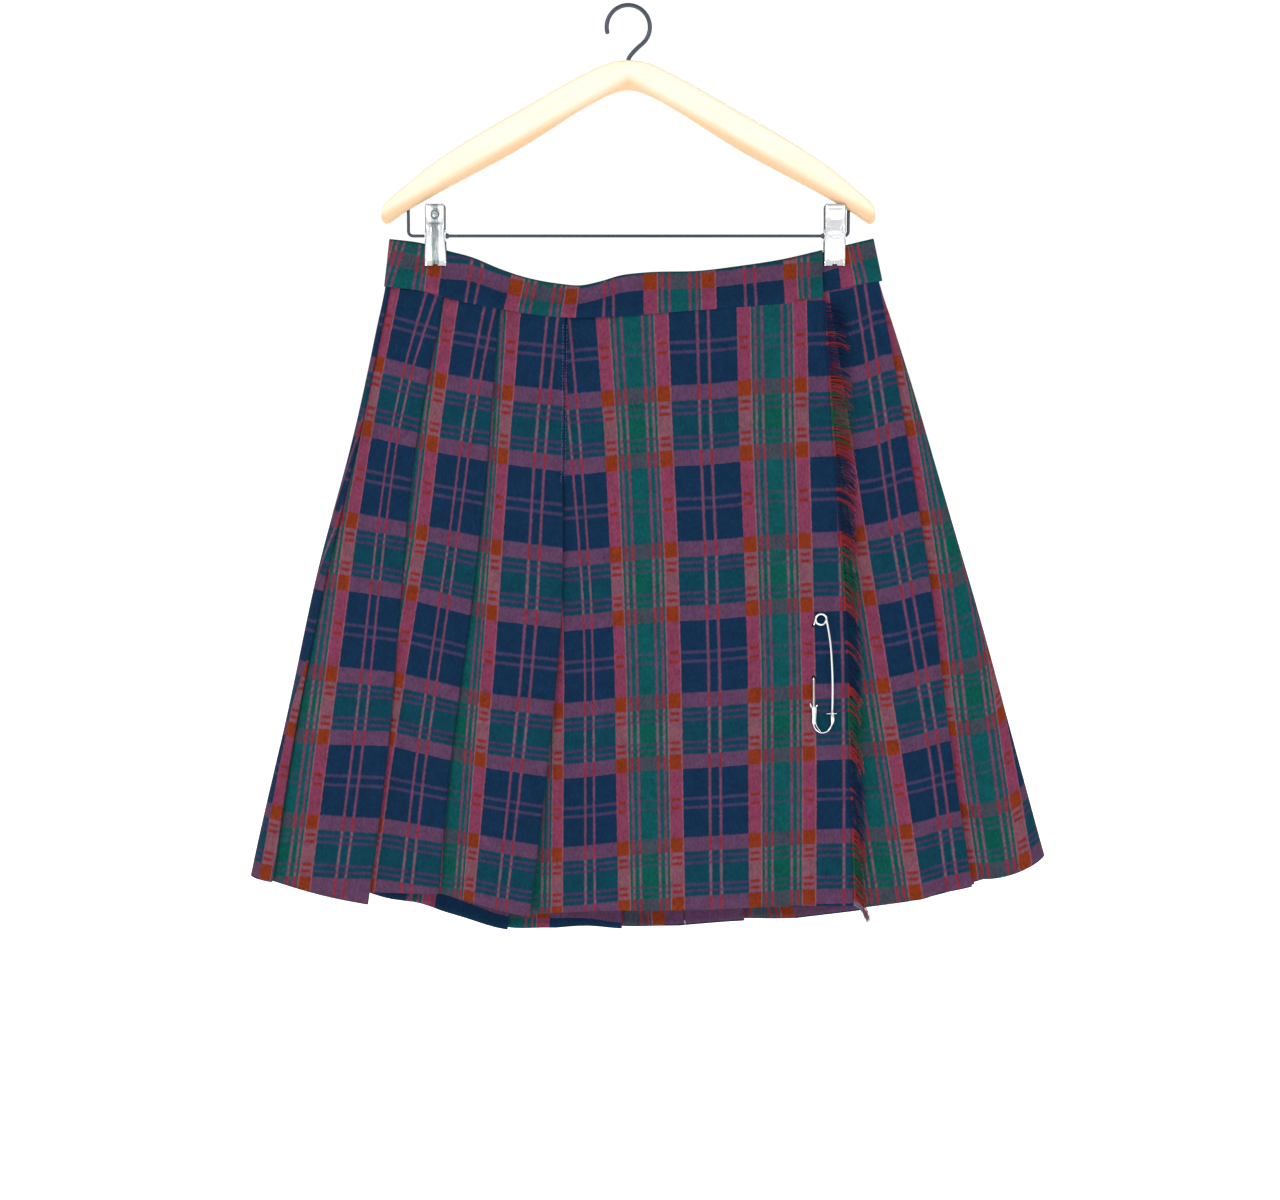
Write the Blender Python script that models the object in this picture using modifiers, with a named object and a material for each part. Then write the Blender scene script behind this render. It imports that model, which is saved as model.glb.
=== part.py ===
"""A wrap kilt hung by its waistband from the two clips of a wooden hanger.

Sizes are in millimetres and become metres when a mesh is made. The origin is the inside top of the
hanger's hook, the front faces -Y and +X is the viewer's right. Tables give X from the hook's middle
and Z from the middle of the hanger's rod.
"""
import math
from functools import lru_cache

import bmesh
import bpy
import numpy as np
from mathutils import Matrix

MM = 0.001
SEAM_GAP = 0.3
WAIST_GAP = 0.5
MERGE = 0.00001

# Hanger
HOOK_WIRE = 3.8
HOOK_RADIUS = 19.0
SHANK_DEPTH = 20.0
ROD_BELOW_HOOK = 199.0
ROD_WIRE = 2.8
ROD_LEG_X = 195.0
ROD_BEND = 4.0
ROD_LEG_TOP = 34.0
WOOD_THICK = 13.0
WOOD_ROUNDING = 4.0
WOOD_OUTLINE = (  # X, underside, upper side
    (0.0, 127.0, 153.0),
    (18.0, 122.5, 150.5),
    (45.0, 108.0, 138.0),
    (75.0, 89.0, 121.5),
    (105.0, 71.0, 104.5),
    (140.0, 52.5, 84.5),
    (175.0, 34.0, 62.0),
    (200.0, 19.5, 42.0),
)
WOOD_NOSE = ((209.0, 13.0), (214.5, 10.5), (218.0, 13.5), (218.6, 19.5), (215.5, 28.5))

# Clips
CLIP_X = {"left": -171.0, "right": 182.8}
CLIP_WIDTH = 18.6
CLIP_STEEL = 1.0
CLIP_PROFILE = (  # distance from the rod's plane, Z
    (4.8, -26.4),
    (3.75, -22.0),
    (5.2, -12.0),
    (6.6, 0.0),
    (6.8, 14.0),
    (8.6, 26.0),
    (6.6, 27.4),
)
JAW_FLARE = 0.8
JAW_FLARE_BELOW = -15.0
EAR_HALF_HEIGHT = 5.0
EAR_REACH = (-3.6, 6.5)
BARREL_SHORT = 1.1
BARREL_PAST = 2.4
BARREL_RADIUS = 2.6
SPRING_RADIUS = 4.2

# Cloth
CLOTH = 1.0
PLEAT_PITCH = 1.5
BAND = 2.2
BAND_PITCH = 3.1
BAND_PARTS_X = -60.0
BAND_JOINT_X = 192.0
FOLD_COLUMNS = (-6.0, -2.8, -1.4, 0.0, 1.4, 2.8, 6.0)
LEVELS = (0.0, 0.25, 0.5, 0.75, 1.0)
SKIRT_ROWS = (0.0, 0.07, 0.22, 0.4, 0.6, 0.8, 1.0)
BAND_PINCH_ROWS = (0.2, 0.38, 0.55)
LEAST_ROW = 1.5
LEFT_SIDE = (-216.0, -246.0, -282.5, -312.5, -343.5)
RIGHT_SIDE = (225.0, 268.0, 307.0, 343.5, 379.5)
BAND_TOP_SIDES = (-211.0, 216.5)
APRON_EDGE = (172.0, 181.0, 190.5, 196.0, 201.0)
APRON_LIFT = 4.0
UNDER_START = (-70.0, -76.0, -84.0, -92.0, -100.0)
UNDER_INSET = (7.5, 17.0)
UNDER_CLEARANCE = 0.5

# Folds of the knife pleats in the order of the wrap, counter-clockwise from above. A half depth is
# half the width of the cloth hidden in the fold, at the seam and at the hem.
FOLDS = (
    # name, side, X at LEVELS, half depths, gape at the hem, segments of the next face
    ("E", "front", (222.0, 247.0, 270.0, 288.0, 309.0), (9.0, 8.0), 1.6, 8),
    ("F1", "back", (165.0, 209.0, 252.0, 296.0, 340.0), (30.0, 24.0), 1.2, 2),
    ("F2", "back", (113.0, 150.0, 186.0, 222.0, 258.0), (38.0, 60.0), 1.4, 2),
    ("F3", "back", (61.0, 85.0, 108.0, 132.0, 155.0), (38.0, 61.0), 1.4, 2),
    ("F4", "back", (9.0, 18.0, 28.0, 37.0, 46.0), (38.0, 61.0), 1.4, 2),
    ("F5", "back", (-43.0, -49.0, -56.0, -62.0, -68.0), (38.0, 61.0), 1.4, 2),
    ("F6", "back", (-95.0, -115.0, -134.0, -154.0, -174.0), (38.0, 61.0), 1.4, 2),
    ("F7", "back", (-147.0, -173.0, -200.0, -227.0, -253.0), (36.0, 52.0), 1.2, 8),
    ("D", "front", (-212.5, -241.0, -273.0, -301.5, -321.4), (6.0, 18.0), 1.0, 6),
    ("C", "front", (-164.0, -190.0, -204.0, -216.0, -234.0), (34.0, 29.0), 1.2, 3),
    ("B", "front", (-115.0, -125.0, -140.0, -158.0, -171.0), (32.0, 11.0), 1.6, 3),
    ("A", "front", (-56.0, -58.0, -60.0, -73.0, -89.0), (46.0, 15.0), 3.6, 10),
)
HIDDEN_SEGMENTS = 2
FIRST_FACE_COLUMNS = 10
PARTED = 0.95  # share of a fold's hidden cloth at which one piece ends and the next begins
LAST_FOLDS = ("D", "C", "B", "A")  # those that lie past one full turn of the wrap
CLOTH_PIECES = (  # name, the fold it ends in
    ("under_apron", "E"),
    ("right_pleats", "F1"),
    ("back_pleats_right", "F4"),
    ("back_pleats_left", "F7"),
    ("left_pleats", "A"),
    ("over_apron", None),
)

# Lower seam of the waistband, its top edge, and the hem, as X, Z pairs
OVER_SEAM = (
    (-216.0, -45.0), (-184.0, -49.0), (-146.0, -59.0), (-109.0, -66.0), (-76.0, -71.5),
    (-45.0, -73.4), (-5.0, -72.0), (47.0, -68.0), (101.0, -63.5), (172.0, -57.7),
)
UNDER_SEAM = (
    (-100.0, -68.0), (-40.0, -71.0), (20.0, -67.5), (100.0, -60.0), (150.0, -54.0), (172.0, -50.0),
    (192.0, -46.0), (225.0, -40.0),
)
BACK_SEAM = (
    (-216.0, -45.0), (-184.0, -50.0), (-150.0, -64.0), (-80.0, -92.0), (0.0, -102.0),
    (90.0, -86.0), (150.0, -61.0), (190.0, -46.5), (225.0, -40.0),
)
OVER_TOP = (
    (-213.0, -2.5), (-180.0, -7.0), (-160.0, -13.0), (-139.0, -18.6), (-113.0, -29.4), (-95.0, -35.7),
    (-60.0, -43.0), (-42.0, -44.6), (-25.0, -41.4), (-7.0, -36.2), (15.0, -33.6), (63.0, -31.7),
    (98.0, -27.0), (133.0, -21.3), (172.0, -12.5),
)
UNDER_TOP = (
    (-100.0, -38.0), (-75.0, -43.0), (-40.0, -48.5), (0.0, -40.0), (40.0, -36.5), (98.0, -30.5),
    (133.0, -24.5), (160.0, -18.0), (191.0, -8.5), (217.0, -2.3),
)
BACK_TOP = (
    (-213.0, -2.5), (-184.0, -9.0), (-150.0, -24.0), (-80.0, -53.0), (0.0, -63.0),
    (90.0, -47.0), (150.0, -22.0), (190.0, -9.0), (217.0, -2.3),
)
PLAN_SEAM = OVER_SEAM[:-1] + ((145.0, -59.9), (192.0, -46.0), (225.0, -40.0))
PLAN_TOP = OVER_TOP[:-1] + ((160.0, -16.0), (191.0, -8.5), (217.0, -2.3))
BACK_HEM = (
    (-343.0, -574.5), (-300.0, -584.0), (-252.0, -594.0), (-225.0, -602.0), (-194.0, -606.0),
    (-156.0, -618.0), (-114.0, -631.0), (-75.0, -629.0), (-40.0, -628.0), (-8.0, -630.5), (30.0, -628.5),
    (72.0, -625.0), (139.0, -620.5), (209.0, -612.0), (255.0, -603.0), (320.0, -583.0), (379.0, -557.0),
)
BACK_HEM_STEP = (-3.5, 1.0)  # each back face hangs lower where it starts than where it ends
FRONT_HEMS = {  # the face that ends at each fold
    "E": ((-150.0, -588.0), (201.0, -595.0), (261.0, -591.0), (309.0, -581.0)),
    "F1": ((309.0, -575.5), (331.0, -575.0), (352.0, -570.0), (366.0, -564.0), (379.0, -557.0)),
    "D": ((-343.0, -574.5), (-321.4, -577.0)),
    "C": ((-321.4, -577.0), (-298.0, -584.0), (-234.0, -595.4)),
    "B": ((-234.0, -585.5), (-171.0, -585.2)),
    "A": ((-171.0, -585.2), (-109.0, -600.6), (-89.0, -605.0)),
    "edge": ((-89.0, -605.0), (-61.0, -603.0), (0.0, -599.6), (60.0, -599.4), (113.0, -596.0),
             (201.0, -595.0)),
}

# Plan of the skirt at the seam and at the hem
END_DEPTH = (7.5, 18.0)
FRONT_BULGE = (26.0, 24.0)
BACK_BULGE = (20.0, 24.0)
BULGE_HALF_WIDTH = (180.0, 361.0)
BULGE_POWER = (2.0, 1.0)
CAP_LENGTH = 1.3
BAND_TOP_DEPTH = 1.8
BAND_TOP_HALF_WIDTH = 163.0

# Fringe of the over apron's free edge
STRANDS = 92
STRIP_WIDTH = 2.0
STRIP_THICK = 1.2
FRINGE_REACH = (14.0, 17.5)
FRINGE_DROP = 15.0

# Kilt pin, on the over apron: X and Z from the photograph, and distance off the cloth
PIN_COIL = (171.9, -338.6)
PIN_COIL_RADIUS = 5.3
PIN_COIL_PITCH = 2.3
PIN_WIRE = 1.8
PIN_REST = 0.3
PIN_POINT_X = 164.5
PIN_HOLES_Z = (-347.5, -390.5)
PIN_HOLE_RADIUS = 1.7
PIN_CAP_Z = (-414.5, -432.0)
PIN_CAP_RADIUS = 2.1
PIN_BOW_Z = -430.8
PIN_BOW_DROP = 8.6
PIN_BOW_RADIUS = 0.8
CROWN_BAR = (180.0, -422.4)
CROWN_BAR_HALF = 3.7

COLOURS = {  # material: sRGB colour, roughness, metallic
    "tartan_wool": ("#27446b", 0.9, 0.0),
    "tartan_fringe": ("#6d3552", 0.9, 0.0),
    "beech_wood": ("#e9c98f", 0.45, 0.0),
    "steel_wire": ("#9a9d9f", 0.3, 1.0),
    "chrome_steel": ("#d9dcdf", 0.15, 1.0),
}


def clear_scene():
    for item in list(bpy.data.objects):
        bpy.data.objects.remove(item, do_unlink=True)


def new_collection(name):
    collection = bpy.data.collections.new(name)
    bpy.context.scene.collection.children.link(collection)
    return collection


def linear(hex_colour):
    channels = [int(hex_colour[i:i + 2], 16) / 255 for i in (1, 3, 5)]
    return [c / 12.92 if c <= 0.04045 else ((c + 0.055) / 1.055) ** 2.4 for c in channels] + [1.0]


def make_materials():
    materials = {}
    for name, (colour, roughness, metallic) in COLOURS.items():
        material = bpy.data.materials.new(name)
        material.use_nodes = True
        shader = material.node_tree.nodes["Principled BSDF"]
        shader.inputs["Base Color"].default_value = linear(colour)
        shader.inputs["Roughness"].default_value = roughness
        shader.inputs["Metallic"].default_value = metallic
        materials[name] = material
    return materials


def metres(x, y, z_from_rod):
    return (x * MM, y * MM, (z_from_rod - ROD_BELOW_HOOK) * MM)


def blend(pair, v):
    return pair[0] + (pair[1] - pair[0]) * v


def smooth_value(places, values, x):
    """A smooth curve through a table's values, read at x."""
    slopes = np.gradient(np.array(values), np.array(places))
    x = min(max(x, places[0]), places[-1])
    k = min(max(int(np.searchsorted(places, x, side="right")) - 1, 0), len(places) - 2)
    step = places[k + 1] - places[k]
    t = (x - places[k]) / step
    return float((1 + 2 * t) * (1 - t) ** 2 * values[k] + t * (1 - t) ** 2 * step * slopes[k]
                 + t * t * (3 - 2 * t) * values[k + 1] + t * t * (t - 1) * step * slopes[k + 1])


def at_level(values, v):
    return smooth_value(LEVELS, values, v)


def along(table, x):
    places, values = zip(*table)
    return smooth_value(places, values, x)


# Plan curves

class Ring:
    """A closed plan curve, measured by its arc from the left silhouette along the front."""

    samples = 500

    def __init__(self, sides, end_depth, bulges, bulge_half_width, power):
        middle, half = (sides[0] + sides[1]) / 2, (sides[1] - sides[0]) / 2
        turn = np.linspace(0, math.pi, self.samples)
        across = middle - half * np.cos(turn)
        cap = CAP_LENGTH * end_depth
        into_cap = np.clip((np.abs(across - middle) - (half - cap)) / cap, 0, 1)
        swell = np.maximum(0, 1 - (across / bulge_half_width) ** 2) ** power
        depths = [(end_depth + bulge * swell) * np.sqrt(1 - into_cap ** 2) for bulge in bulges]
        self.x = np.concatenate([across, across[::-1][1:]])
        self.y = np.concatenate([-depths[0], depths[1][::-1][1:]])
        steps = np.hypot(np.diff(self.x), np.diff(self.y))
        self.arc = np.concatenate([[0], np.cumsum(steps)])
        self.front = self.arc[self.samples - 1]
        self.length = self.arc[-1]

    def place(self, x, side):
        """Arc of the point with this X on the front or the back."""
        last = self.samples - 1
        if side == "front":
            return float(np.interp(x, self.x[:last + 1], self.arc[:last + 1]))
        return float(np.interp(-x, -self.x[last:], self.arc[last:]))

    def point(self, arc, inset):
        """The point at this arc, moved in from the curve."""
        arc = arc % self.length
        reach = 0.6
        x0, x1 = np.interp([(arc - reach) % self.length, (arc + reach) % self.length], self.arc, self.x)
        y0, y1 = np.interp([(arc - reach) % self.length, (arc + reach) % self.length], self.arc, self.y)
        span = math.hypot(x1 - x0, y1 - y0)
        x, y = np.interp(arc, self.arc, self.x), np.interp(arc, self.arc, self.y)
        return x - inset * (y1 - y0) / span, y + inset * (x1 - x0) / span

    def on_front(self, arc):
        return 0 <= arc <= self.front or self.length <= arc <= self.length + self.front


@lru_cache(maxsize=None)
def skirt_ring(v):
    sides = (at_level(LEFT_SIDE, v), at_level(RIGHT_SIDE, v))
    bulges = (blend(FRONT_BULGE, v), blend(BACK_BULGE, v))
    return Ring(sides, blend(END_DEPTH, v), bulges, blend(BULGE_HALF_WIDTH, v), blend(BULGE_POWER, v))


@lru_cache(maxsize=None)
def band_ring(w):
    """Plan of the waistband: the skirt's own at its seam, pressed flat where the clips hold it."""
    pinch = float(np.interp(w, BAND_PINCH_ROWS, (0.0, 0.5, 1.0)))
    sides = [blend(pair, w) for pair in zip((LEFT_SIDE[0], RIGHT_SIDE[0]), BAND_TOP_SIDES)]
    return Ring(sides, blend((END_DEPTH[0], BAND_TOP_DEPTH), pinch), (FRONT_BULGE[0], BACK_BULGE[0]),
                blend((BULGE_HALF_WIDTH[0], BAND_TOP_HALF_WIDTH), pinch), BULGE_POWER[0])


# Skirt

def fold_pitch(fold, v):
    """Distance between the layers of a fold, which opens a little towards the hem."""
    return PLEAT_PITCH + fold[4] * v * v


def face_inset(start_arc, start_inset, end_arc, end_inset, arc):
    return start_inset + (end_inset - start_inset) * (arc - start_arc) / (end_arc - start_arc)


def wrap_columns(v):
    """Columns of the whole wrap at level v, as (arc, inset, face name, share of the hem's step).

    Each face runs out from under the face before it to its own fold edge, turns back, and turns
    again under itself. Layers over one another share their arcs, so that they stay parallel.
    """
    ring = skirt_ring(v)
    columns, cuts = [], {}
    start = ring.place(at_level(UNDER_START, v), "front")
    edge_of_lap = ring.place(at_level(APRON_EDGE, v), "front")
    start_inset = blend(UNDER_INSET, v)
    for s in np.linspace(0, 1, FIRST_FACE_COLUMNS):
        columns.append((blend((start, edge_of_lap), s), blend((start_inset, UNDER_CLEARANCE), s), "E", 0.0))
    start, start_inset = edge_of_lap, UNDER_CLEARANCE
    segments = 3
    for fold in FOLDS:
        name = fold[0]
        end = fold_arc(fold, v)
        pitch, half = fold_pitch(fold, v), blend(fold[3], v)
        inner, outer = end - half + pitch / 2, end - pitch / 2

        def inset(arc, a=start, b=start_inset, c=end):
            return face_inset(a, b, c, 0.0, arc)

        for arc in np.linspace(start, inner, segments + 1)[1:-1]:
            columns.append((arc, inset(arc), name, 0.0))
        stretch = np.linspace(inner, outer, HIDDEN_SEGMENTS + 1)
        columns += [(arc, inset(arc), name, 0.0) for arc in stretch]
        columns += turn(outer, inset(outer) + pitch / 2, pitch / 2, 1, name, 0.0)
        back_shares = np.linspace(0, 0.5, HIDDEN_SEGMENTS + 1)
        columns += [(arc, inset(arc) + pitch, name, s) for arc, s in zip(stretch[::-1], back_shares)]
        columns += turn(inner, inset(inner) + 1.5 * pitch, pitch / 2, -1, name, 0.5)
        middle = (stretch[-2] + stretch[-1]) / 2
        for arc, s in zip(stretch[:-1], 0.5 + back_shares):
            columns.append((arc, inset(arc) + 2 * pitch, name, s))
        cuts[name] = len(columns)
        for side_of_cut in (-0.5, 0.5):
            columns.append((middle + side_of_cut * SEAM_GAP, inset(middle) + 2 * pitch, name, PARTED))
        columns.append((outer, inset(outer) + 2 * pitch, name, 1.0))
        start, start_inset = end, 2 * pitch
        segments = fold[5]
    end = ring.length + edge_of_lap
    for arc in np.linspace(start, end, segments + 1):
        columns.append((arc, face_inset(start, start_inset, end, -APRON_LIFT, arc), "edge", 0.0))
    return columns, cuts


def turn(arc, inset, radius, way, name, share):
    """The two middle columns of a U-turn about (arc, inset), from its outer to its inner layer."""
    columns = []
    for angle in (-30, 30):
        across, inwards = math.cos(math.radians(angle)), math.sin(math.radians(angle))
        columns.append((arc + way * radius * across, inset + radius * inwards, name, share))
    return columns


def seam_height(ring, arc, name):
    x = ring.point(arc, 0)[0]
    if not ring.on_front(arc):
        return along(BACK_SEAM, x)
    return along(UNDER_SEAM if name in ("E", "F1") else OVER_SEAM, x)


def hem_height(ring, arc, name, travelled):
    """Hem of a face at this arc; travelled is the share of the face already run."""
    x = ring.point(arc, 0)[0]
    if not ring.on_front(arc):
        settled = min(1.0, max(0.0, travelled)) if name.startswith("F") else 0.8
        return along(BACK_HEM, x) + blend(BACK_HEM_STEP, settled)
    return along(FRONT_HEMS[name], x)


def face_after(name):
    names = [fold[0] for fold in FOLDS] + ["edge"]
    return names[names.index(name) + 1]


def fold_arc(fold, v):
    """Arc of a fold's edge, counted on past the left silhouette after one turn."""
    ring = skirt_ring(v)
    laps = 1 if fold[0] in LAST_FOLDS else 0
    return ring.place(at_level(fold[2], v), fold[1]) + laps * ring.length


def wrap_heights(seam_columns, hem_columns):
    """Seam and hem height of every column."""
    top, bottom = skirt_ring(0.0), skirt_ring(1.0)
    reaches = {}
    start = 0.0
    for fold in FOLDS:
        end = fold_arc(fold, 1.0)
        reaches[fold[0]] = (start, end)
        start = end
    heights = []
    for (arc0, _, name, _), (arc1, _, _, share) in zip(seam_columns, hem_columns):
        first, last = reaches.get(name, (0.0, math.inf))
        hem = hem_height(bottom, arc1, name, (arc1 - first) / (last - first))
        if share > 0:
            hem = blend((hem, hem_height(bottom, arc1, face_after(name), 0.0)), share)
        seam_name = name if share < PARTED else face_after(name)
        heights.append((seam_height(top, arc0, seam_name) - WAIST_GAP / 2, hem))
    return heights


def wrap_grid():
    """Points of the whole wrap, row by row, and the columns where it is parted."""
    rows = [wrap_columns(v) for v in SKIRT_ROWS]
    heights = wrap_heights(rows[0][0], rows[-1][0])
    grid = []
    for v, (columns, _) in zip(SKIRT_ROWS, rows):
        ring = skirt_ring(v)
        points = []
        for (arc, inset, _, _), (seam, hem) in zip(columns, heights):
            x, y = ring.point(arc, inset)
            points.append((x, y, seam + (hem - seam) * v))
        grid.append(points)
    return grid, rows[0][1]


def sheet_object(name, grid, thickness, material, collection):
    """An open grid of points given a wall by Solidify."""
    mesh = bpy.data.meshes.new(name)
    bm = bmesh.new()
    verts = [[bm.verts.new(metres(*point)) for point in row] for row in grid]
    for above, below in zip(verts, verts[1:]):
        for i in range(len(above) - 1):
            bm.faces.new((above[i], below[i], below[i + 1], above[i + 1]))
    bm.to_mesh(mesh)
    bm.free()
    sheet = bpy.data.objects.new(name, mesh)
    collection.objects.link(sheet)
    wall = sheet.modifiers.new("wall", "SOLIDIFY")
    wall.thickness = thickness * MM
    wall.offset = 0
    wall.use_even_offset = True
    mesh.materials.append(material)
    mesh.shade_smooth()
    return sheet


def make_skirt(materials, collection):
    grid, cuts = wrap_grid()
    pieces = {}
    first = 0
    for name, last_fold in CLOTH_PIECES:
        last = cuts[last_fold] + 1 if last_fold else len(grid[0])
        part = [row[first:last] for row in grid]
        pieces[name] = sheet_object(name, part, CLOTH, materials["tartan_wool"], collection)
        first = last
    return pieces


# Waistband

def band_lift(x):
    """How far the over band stands forward where the under band lies behind it."""
    free_length = APRON_EDGE[0] - BAND_PARTS_X
    return BAND_PITCH * min(1.0, max(0.0, (x - BAND_PARTS_X) / free_length))


def band_plan_ends(x, on_front):
    """Height of the waistband's seam and top edge where its plan is measured."""
    return along(PLAN_SEAM if on_front else BACK_SEAM, x), along(PLAN_TOP if on_front else BACK_TOP, x)


def band_arcs(ring, start, end, fold, counts):
    """Arcs of a stretch of band, with its fold round a silhouette rounded by columns of its own."""
    first, last = [ring.place(x, side) + laps * ring.length for x, side, laps in (start, end)]
    tip = {"left": 0.0, "right": ring.front}.get(fold)
    if tip is None:
        return list(np.linspace(first, last, counts[0] + 1))
    before = list(np.linspace(first, tip + FOLD_COLUMNS[0], counts[0] + 1))
    after = list(np.linspace(tip + FOLD_COLUMNS[-1], last, counts[1] + 1))
    return before + [tip + d for d in FOLD_COLUMNS[1:-1]] + after


def band_point(k, row, low, high, stretch, inset_of):
    """Column k of a band at one of its rows: its lower edge, the rows of the pinch, its upper edge."""
    guide = band_ring(0.5)
    arc = band_arcs(guide, *stretch)[k]
    plan_low, plan_high = band_plan_ends(guide.point(arc, 0)[0], guide.on_front(arc))
    rise = plan_high - plan_low
    if row in (0, 4):
        z = low if row == 0 else high
    else:
        z = max(plan_low + rise * BAND_PINCH_ROWS[row - 1], low + LEAST_ROW * row)
    w = round(min(1.0, max(0.0, (z - plan_low) / rise)), 3)
    ring = band_ring(w)
    arc = band_arcs(ring, *stretch)[k]
    x, y = ring.point(arc, inset_of(ring.point(arc, 0)[0]))
    return x, y, z


def band_piece(name, stretch, inset_of, seam, top, materials, collection):
    """A stretch of band; stretch holds its start, its end, the silhouette it folds round, and counts."""
    low_ring, high_ring = band_ring(0.0), band_ring(1.0)
    heights = []
    for arc0, arc1 in zip(band_arcs(low_ring, *stretch), band_arcs(high_ring, *stretch)):
        low = along(seam[low_ring.on_front(arc0)], low_ring.point(arc0, 0)[0]) + WAIST_GAP / 2
        heights.append((low, along(top[high_ring.on_front(arc1)], high_ring.point(arc1, 0)[0])))
    columns = []
    for k, (low, high) in enumerate(heights):
        columns.append([band_point(k, z_row, low, high, stretch, inset_of) for z_row in range(5)])
    grid = [[column[row] for column in columns] for row in range(5)]
    return sheet_object(name, grid[::-1], BAND, materials["tartan_wool"], collection)


def make_waistband(materials, collection):
    joint, gap = BAND_JOINT_X, SEAM_GAP / 2
    over_tables = ({True: OVER_SEAM, False: BACK_SEAM}, {True: OVER_TOP, False: BACK_TOP})
    under_tables = ({True: UNDER_SEAM, False: BACK_SEAM}, {True: UNDER_TOP, False: BACK_TOP})
    over = ((-joint - gap, "back", -1), (APRON_EDGE[0], "front", 0), "left", (3, 34))
    back = ((joint - gap, "back", 0), (-joint + gap, "back", 0), None, (30,))
    under = ((UNDER_START[0], "front", 0), (joint + gap, "back", 0), "right", (26, 3))
    insets = {"over": lambda x: -band_lift(x), "back": lambda x: 0.0,
              "under": lambda x: BAND_PITCH - band_lift(x)}
    band_piece("waistband_over", over, insets["over"], *over_tables, materials, collection)
    band_piece("waistband_back", back, insets["back"], *over_tables, materials, collection)
    band_piece("waistband_under", under, insets["under"], *under_tables, materials, collection)


# Over apron in its own shares, for what is fastened to it

def apron_point(share, v, out):
    """A point of the over apron, out from its outer face; share runs from fold A to the free edge."""
    ring = skirt_ring(v)
    fold = FOLDS[-1]
    start = ring.place(at_level(fold[2], v), "front")
    end = ring.place(at_level(APRON_EDGE, v), "front")
    arc = start + (end - start) * share
    inset = face_inset(start, 2 * fold_pitch(fold, v), end, -APRON_LIFT, arc)
    x, y = ring.point(arc, inset - CLOTH / 2 - out)
    top, bottom = skirt_ring(0.0), skirt_ring(1.0)
    seam_x = blend((fold[2][0], APRON_EDGE[0]), share)
    hem_x = blend((fold[2][-1], APRON_EDGE[-1]), share)
    seam, hem = along(OVER_SEAM, seam_x) - WAIST_GAP / 2, along(FRONT_HEMS["edge"], hem_x)
    return x, y, seam + (hem - seam) * v


def on_apron(x, z, out):
    """The point out from the apron that has this X and Z."""
    apron_length, apron_width, rounds = 535.0, 260.0, 12
    share, v = 0.9, 0.6
    for _ in range(rounds):
        px, _, pz = apron_point(share, v, out)
        v += (pz - z) / apron_length
        share += (x - px) / apron_width
    return apron_point(share, v, out)


def strand_root(v):
    """Frame at the strip beside the apron's free edge: its two long sides at level v."""
    ring = skirt_ring(v)
    arc = ring.place(at_level(APRON_EDGE, v), "front")
    z = apron_point(1.0, v, 0.0)[2]
    sides = []
    for across in (SEAM_GAP, SEAM_GAP + STRIP_WIDTH):
        for out in (APRON_LIFT + STRIP_THICK / 2, APRON_LIFT - STRIP_THICK / 2):
            x, y = ring.point(arc + across, -out)
            sides.append((x, y, z))
    return sides


def make_fringe(materials, collection):
    """A narrow strip along the free edge with a strand drawn out of every other face of its side."""
    bm = bmesh.new()
    inside, lower = 0.003, 0.987
    levels = np.linspace(inside, lower, 2 * STRANDS + 1)
    sections = [[bm.verts.new(metres(*p)) for p in strand_root(v)] for v in levels]
    roots = []
    for k, (above, below) in enumerate(zip(sections, sections[1:])):
        for a, b in ((0, 1), (1, 3), (3, 2), (2, 0)):
            face = bm.faces.new((above[a], above[b], below[b], below[a]))
            if (a, b) == (3, 2) and k % 2 == 0:
                roots.append((face, levels[k]))
    bm.faces.new([sections[0][i] for i in (0, 2, 3, 1)])
    bm.faces.new([sections[-1][i] for i in (0, 1, 3, 2)])
    bmesh.ops.recalc_face_normals(bm, faces=bm.faces[:])
    for number, (face, v) in enumerate(roots):
        sway = math.sin(number * 2.4)
        reach = blend(FRINGE_REACH, v) + 0.5 * sway
        steps = ((0.55 * reach, -0.3, -0.24 * FRINGE_DROP, 0.75),
                 (0.45 * reach, 1.1, -0.62 * FRINGE_DROP + 0.4 * sway, 0.25))
        for across, back, down, size in steps:
            face = draw_out(bm, face, (across * MM, back * MM, down * MM), size)
    mesh = bpy.data.meshes.new("apron_fringe")
    bm.to_mesh(mesh)
    bm.free()
    fringe = bpy.data.objects.new("apron_fringe", mesh)
    mesh.materials.append(materials["tartan_fringe"])
    collection.objects.link(fringe)
    return fringe


def draw_out(bm, face, step, size):
    """Extrude a face by a step and scale its new end."""
    end = bmesh.ops.extrude_discrete_faces(bm, faces=[face])["faces"][0]
    middle = end.calc_center_median()
    for vert in end.verts:
        vert.co = middle + (vert.co - middle) * size
        vert.co.x += step[0]
        vert.co.y += step[1]
        vert.co.z += step[2]
    return end


# Kilt pin

def wire_object(name, paths, material, collection, resolution=2):
    """Poly splines of (x, y, z, radius) points, in millimetres from the rod."""
    curve = bpy.data.curves.new(name, "CURVE")
    curve.dimensions = "3D"
    curve.bevel_depth = MM
    curve.bevel_resolution = resolution
    curve.use_fill_caps = True
    for path in paths:
        spline = curve.splines.new("POLY")
        spline.points.add(len(path) - 1)
        for point, (x, y, z, radius) in zip(spline.points, path):
            point.co = (*metres(x, y, z), 1)
            point.radius = radius
    curve.materials.append(material)
    wire = bpy.data.objects.new(name, curve)
    collection.objects.link(wire)
    return wire


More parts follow.
